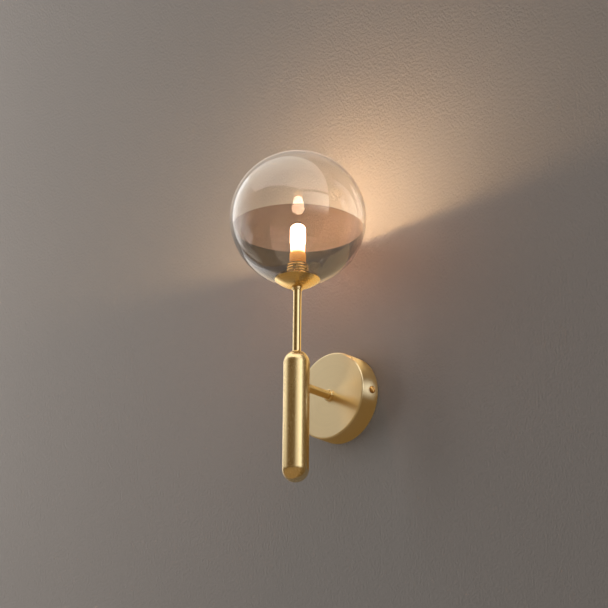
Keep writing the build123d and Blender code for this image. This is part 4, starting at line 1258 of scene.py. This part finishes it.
class TORCH_OT_studio(bpy.types.Operator):
    """Set up the wall, the floor, the soft lamps and the camera"""

    bl_idname = "torch.studio"
    bl_label = "Studio"
    bl_options = {"REGISTER", "UNDO"}

    def execute(self, context):
        studio = context.scene.torch_studio
        self.background(studio)
        self.wall_and_floor(studio)
        self.lamps(studio)
        self.camera(studio)
        context.scene.view_settings.view_transform = "Standard"
        return {"FINISHED"}

    def background(self, studio):
        """Pale surroundings where neither wall nor floor reaches."""
        world = bpy.data.worlds.new("studio")
        bpy.context.scene.world = world
        world.use_nodes = True
        tree = world.node_tree
        tree.nodes.clear()
        path = put(tree, "ShaderNodeLightPath").outputs
        seen = math_of(tree, "MAXIMUM", path["Is Camera Ray"], path["Is Glossy Ray"])
        seen = math_of(tree, "MAXIMUM", seen, path["Is Transmission Ray"])
        light = put(tree, "ShaderNodeBackground", {"Color": (0.80, 0.78, 0.76, 1.0), "Strength": 0.36})
        pale = put(tree, "ShaderNodeBackground", {"Color": opaque(studio.floor), "Strength": 1.0})
        mixed = mix_of(tree, seen, light.outputs["Background"], pale.outputs["Background"])
        put(tree, "ShaderNodeOutputWorld", {"Surface": mixed})

    def wall_and_floor(self, studio):
        """Painted wall, seen from the front only, and a plain floor."""
        wall = self.sheet("stage_wall", (0.0, WALL_GAP, WALL_MIDDLE), WALL_SIZE, UPRIGHT)
        wall.data.materials.append(self.paint("wall_paint", studio.wall, True))
        floor = self.sheet("stage_floor", (0.0, 0.0, studio.floor_height), (12.0, 12.0, 1.0))
        floor.data.materials.append(self.paint("floor_paint", studio.floor, False))

    def sheet(self, name, middle, size, rotation=(0.0, 0.0, 0.0)):
        """Flat sheet of a given size."""
        deselect()
        bpy.ops.mesh.primitive_plane_add(size=1.0, location=middle)
        made = bpy.context.active_object
        made.name = name
        made.rotation_euler = rotation
        made.scale = size
        return made

    def paint(self, name, colour, one_sided):
        """Matt paint with the faint orange peel of a roller.

        One-sided paint is clear from behind, and where the plate covers it the metal reflects what is
        behind it, so that the open back of the plate shows in the views from there.
        """
        material, tree, shader, output = new_material(name, Roughness=0.9, Specular_IOR_Level=0.0)
        here = own_place(tree)
        sized = mapped(tree, here, Scale=(9.0, 2.6, 1.0))
        tone = ramp_of(tree, noise_of(tree, sized, 3.0, 2.0), 0.3, 0.7, 0.985, 1.01)
        fill(shader, {"Base Color": toned(tree, opaque(colour), tone)})
        bump(tree, shader, noise_of(tree, sized, 420.0, 2.0), 0.0011, 0.8)
        if one_sided:
            behind = put(tree, "ShaderNodeNewGeometry").outputs["Backfacing"]
            across = mapped(tree, here, Scale=WALL_SIZE, Location=(0.0, WALL_MIDDLE, 0.0))
            covered = math_of(tree, "LESS_THAN", length_of(tree, across), PLATE_R)
            reflected = put(tree, "ShaderNodeLightPath").outputs["Is Glossy Ray"]
            behind = math_of(tree, "MULTIPLY_ADD", covered, reflected, behind)
            fill(output, {"Surface": mix_of(tree, behind, shader.outputs["BSDF"], clear_of(tree))})
        return material

    def softbox(self, name, position, aim, width, height, radiance, spread=math.pi):
        """Area lamp of a given radiance, aimed at a point."""
        deselect()
        bpy.ops.object.light_add(type="AREA", location=position)
        lamp = bpy.context.active_object
        lamp.name = name
        lamp.rotation_euler = (Vector(aim) - Vector(position)).to_track_quat("-Z", "Y").to_euler()
        lamp.data.shape = "RECTANGLE"
        lamp.data.size = width
        lamp.data.size_y = height
        lamp.data.color = LAMP_WHITE
        lamp.data.energy = radiance * math.pi * width * height
        lamp.data.spread = spread
        lamp.visible_glossy = False
        lamp.visible_camera = False

    def card(self, name, start, end, low, high, near, far, **shape):
        """Upright card that only shows in reflections, running from one place on the plan to another."""
        run = Vector((end[0] - start[0], end[1] - start[1], 0.0))
        middle = ((start[0] + end[0]) / 2, (start[1] + end[1]) / 2, (low + high) / 2)
        turn = (UPRIGHT[0], 0.0, math.atan2(run.y, run.x))
        sheet = self.sheet(name, middle, (run.length, high - low, 1.0), turn)
        self.reflect_only(sheet, near, far, **shape)

    def level_card(self, name, corner, opposite, height, colour, **shape):
        """Level card that only shows in reflections, between two corners on the plan."""
        middle = ((corner[0] + opposite[0]) / 2, (corner[1] + opposite[1]) / 2, height)
        size = (opposite[0] - corner[0], opposite[1] - corner[1], 1.0)
        self.reflect_only(self.sheet(name, middle, size), colour, colour, **shape)

    def reflect_only(self, sheet, near, far, fall=1.0, fade=(0.0,) * 4, outside=1.0, inside=1.0):
        """Hide a card from everything but reflected rays, and give it its brightness.

        It goes from near to far along its length, faster at first where fall is over 1. It fades out
        towards its start, end, bottom and top over the four shares in fade. Outside is how much of it
        shows in the metal and on the glass's near side, and inside how much of it shows through the
        glass, after one reflection there.
        """
        material = bpy.data.materials.new(f"{sheet.name}_cloth")
        material.use_nodes = True
        tree = material.node_tree
        tree.nodes.clear()
        parts = parts_of(tree, own_place(tree))
        share = math_of(tree, "POWER", math_of(tree, "SUBTRACT", 0.5, parts["X"]), fall)
        shown = put(tree, "ShaderNodeEmission", {"Color": blend_of(tree, share, opaque(far), opaque(near))})
        path = put(tree, "ShaderNodeLightPath").outputs
        once_seen = math_of(tree, "GREATER_THAN", path["Glossy Depth"], 0.5)
        twice_seen = math_of(tree, "GREATER_THAN", path["Glossy Depth"], 1.5)
        through = math_of(tree, "GREATER_THAN", path["Transmission Depth"], 0.5)
        seen = math_of(tree, "SUBTRACT", once_seen, math_of(tree, "MULTIPLY", twice_seen, through))
        shares = math_of(tree, "MULTIPLY_ADD", through, inside - outside, outside)
        seen = math_of(tree, "MULTIPLY", seen, shares)
        for part, low_share, high_share in ((parts["X"], *fade[:2]), (parts["Y"], *fade[2:])):
            if low_share:
                seen = math_of(tree, "MULTIPLY", seen, ramp_of(tree, part, -0.5, low_share - 0.5))
            if high_share:
                drop = ramp_of(tree, part, 0.5 - high_share, 0.5, 1.0, 0.0)
                seen = math_of(tree, "MULTIPLY", seen, drop)
        mixed = mix_of(tree, seen, clear_of(tree), shown.outputs["Emission"])
        put(tree, "ShaderNodeOutputMaterial", {"Surface": mixed})
        material.cycles.emission_sampling = "NONE"
        sheet.data.materials.append(material)
        sheet.visible_camera = False
        sheet.visible_diffuse = False
        sheet.visible_shadow = False

    def lamps(self, studio):
        """Soft lamps for the matt surfaces, and cards all round for the reflections."""
        aim = (0.0, -0.05, 0.08)
        level = studio.softbox
        self.softbox("lamp_left", (-1.45, -0.60, 0.35), aim, 0.95, 1.7, level)
        self.softbox("lamp_right", (1.36, -0.88, 0.55), aim, 1.25, 1.7, level * 0.06)
        self.softbox("lamp_top", (-0.2, -1.0, 2.2), aim, 1.4, 1.4, level * 0.1)
        self.softbox("lamp_floor", (0.0, -3.4, 2.6), (0.0, -3.4, 0.0), 5.0, 3.6, 0.5, math.radians(60))
        self.glow(studio)
        bright = [studio.window * part for part in LAMP_WHITE]
        dark, ground = list(studio.shade), list(studio.ground)
        self.side_cards(bright, dark, ground)
        self.wall_cards(bright, dark)
        ceiling = (1.5, 1.42, 1.30)
        self.level_card("card_ceiling", (-0.70, -1.0), (1.35, 0.0), 0.85, ceiling, inside=0.6)
        self.level_card("card_ground", (-0.75, -1.45), (1.40, 0.0), CARD_FLOOR, ground, inside=0.0)

    def glow(self, studio):
        """Warm light from inside the lit lamp, which spreads wide over the wall and moves with the lamp."""
        deselect()
        bpy.ops.object.light_add(type="POINT", location=(0.0, TORCH_Y, LAMP_MIDDLE))
        lamp = bpy.context.active_object
        lamp.name = "lamp_glow"
        lamp.data.color = (1.0, 0.55, 0.22)
        lamp.data.energy = studio.glow_power
        lamp.data.shadow_soft_size = 0.0075
        lamp.data.use_nodes = True
        tree = lamp.data.node_tree
        steady = put(tree, "ShaderNodeLightFalloff", {"Strength": 1.0, "Smooth": 0.04})
        fill(tree.nodes["Emission"], {"Strength": steady.outputs["Quadratic"]})
        lamp.visible_camera = False
        lamp.visible_transmission = False
        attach(lamp, body_of("bulb_body"))

    def side_cards(self, bright, dark, ground):
        """Dark all round, with a bright card at each side that falls off towards the front."""
        sides = ("left", "front", "right")
        corners = [(-0.72, 0.0), (-0.72, -1.37), (0.82, -1.37), (1.37, 0.0)]
        for start, end, side in zip(corners, corners[1:], sides):
            self.card(f"card_{side}_dark", start, end, CARD_FLOOR, 1.10, dark, dark, inside=0.65)
        low = {"fade": (0, 0, 0, 0.25), "inside": 0.0}
        nearer = [(-0.71, 0.0), (-0.71, -1.36), (0.81, -1.36), (1.36, 0.0)]
        for start, end, side in zip(nearer, nearer[1:], sides):
            self.card(f"card_{side}_ground", start, end, CARD_FLOOR, 0.10, ground, ground, **low)
        start, end, far_end = (-0.70, -0.02), (-0.70, -0.35), (-0.70, -1.35)
        soft = {"fall": 1.9, "fade": (0, 0, 0.25, 0)}
        self.card("card_left", start, far_end, 0.02, 0.88, bright, dark, **soft)
        half = [0.5 * part for part in bright]
        soft = {"fade": (0.1, 0.3, 0.3, 0.1), "outside": 0.0}
        self.card("card_left_inner", start, end, -0.35, 0.36, half, dark, **soft)
        soft = {"fade": (0, 0, 0.5, 0), "inside": 0.9}
        self.card("card_right", (1.35, 0.0), (0.80, -1.35), -0.10, 0.74, bright, dark, **soft)

    def wall_cards(self, bright, dark):
        """What the metal sees of the wall beside the object."""
        half = [0.45 * part for part in bright]
        strip = [0.5 * part for part in bright]
        warm, lit, shaded = (0.85, 0.62, 0.32), (1.0, 0.86, 0.72), (0.17, 0.105, 0.04)
        plain, low, all_round = (0.0, 0.0, 0.0, 0.0), (0.0, 0.0, 0.5, 0.0), (0.3, 0.3, 0.5, 0.5)
        rows = (
            ("left", -0.70, -0.40, -0.16, 0.155, half, half, low),
            ("fan", -0.40, -0.09, -0.16, 0.155, bright, warm, low),
            ("dish", -0.09, 0.085, 0.045, 0.14, warm, warm, plain),
            ("top", -0.70, 0.12, 0.22, 0.85, lit, lit, (0.0, 0.2, 0.3, 0.0)),
            ("near", 0.085, 0.16, CARD_FLOOR, 0.10, dark, dark, plain),
            ("far", 0.16, 1.35, CARD_FLOOR, 0.45, dark, dark, plain),
        )
        for name, start, end, bottom, top, near, far, fade in rows:
            ends = (start, CARD_WALL), (end, CARD_WALL)
            self.card(f"card_wall_{name}", *ends, bottom, top, near, far, fade=fade, inside=0.0)
        deselect()
        bpy.ops.mesh.primitive_circle_add(
            vertices=64, radius=0.088, fill_type="NGON", location=(0.0, CARD_WALL / 2, 0.0), rotation=UPRIGHT
        )
        plate = bpy.context.active_object
        plate.name = "card_wall_plate"
        self.reflect_only(plate, shaded, shaded, inside=0.0)
        ends = (PLATE_R + 0.002, 1.3 * CARD_WALL), (0.084, 1.3 * CARD_WALL)
        self.card("card_strip", *ends, -0.016, 0.030, strip, strip, fade=all_round, inside=0.0)

    def camera(self, studio):
        """Camera at the photograph's place: low, to the right, looking up."""
        target = Vector((-0.0265, -0.040, 0.1118))
        level, turn = math.cos(studio.elevation), studio.azimuth
        back = Vector((level * math.sin(turn), -level * math.cos(turn), math.sin(studio.elevation)))
        right = Vector((math.cos(turn), math.sin(turn), 0.0))
        up = back.cross(right)
        rolled = math.cos(studio.roll) * right + math.sin(studio.roll) * up
        upright = back.cross(rolled)
        deselect()
        bpy.ops.object.camera_add(location=target + back * studio.distance)
        camera = bpy.context.active_object
        camera.rotation_euler = Matrix((rolled, upright, back)).transposed().to_euler()
        camera.data.lens = studio.lens
        camera.data.sensor_width = 36.0
        bpy.context.scene.camera = camera


OPERATORS = (
    TORCH_OT_wall_plate,
    TORCH_OT_wall_bracket,
    TORCH_OT_terminals,
    TORCH_OT_wires,
    TORCH_OT_arm,
    TORCH_OT_capsule,
    TORCH_OT_stem,
    TORCH_OT_dish,
    TORCH_OT_sleeve,
    TORCH_OT_lampholder,
    TORCH_OT_lamp,
    TORCH_OT_globe,
    TORCH_OT_studio,
)


class TORCH_PT_panel(bpy.types.Panel):
    """Lists the pieces of the light and their settings"""

    bl_label = "Torch Light"
    bl_idname = "TORCH_PT_panel"
    bl_space_type = "VIEW_3D"
    bl_region_type = "UI"
    bl_category = "Torch Light"

    def draw(self, context):
        for operator in OPERATORS:
            self.layout.operator(operator.bl_idname)
        for settings in (context.scene.torch_sizes, context.scene.torch_finishes, context.scene.torch_studio):
            box = self.layout.box()
            for name in settings.__annotations__:
                box.prop(settings, name)


CLASSES = (PieceSizes, Finishes, Studio, *OPERATORS, TORCH_PT_panel)


def register():
    for item in CLASSES:
        bpy.utils.register_class(item)
    bpy.types.Scene.torch_sizes = PointerProperty(type=PieceSizes)
    bpy.types.Scene.torch_finishes = PointerProperty(type=Finishes)
    bpy.types.Scene.torch_studio = PointerProperty(type=Studio)


def unregister():
    del bpy.types.Scene.torch_studio
    del bpy.types.Scene.torch_finishes
    del bpy.types.Scene.torch_sizes
    for item in reversed(CLASSES):
        bpy.utils.unregister_class(item)


def main():
    register()
    for operator in OPERATORS:
        group, name = operator.bl_idname.split(".")
        getattr(getattr(bpy.ops, group), name)()


if __name__ == "__main__":
    main()
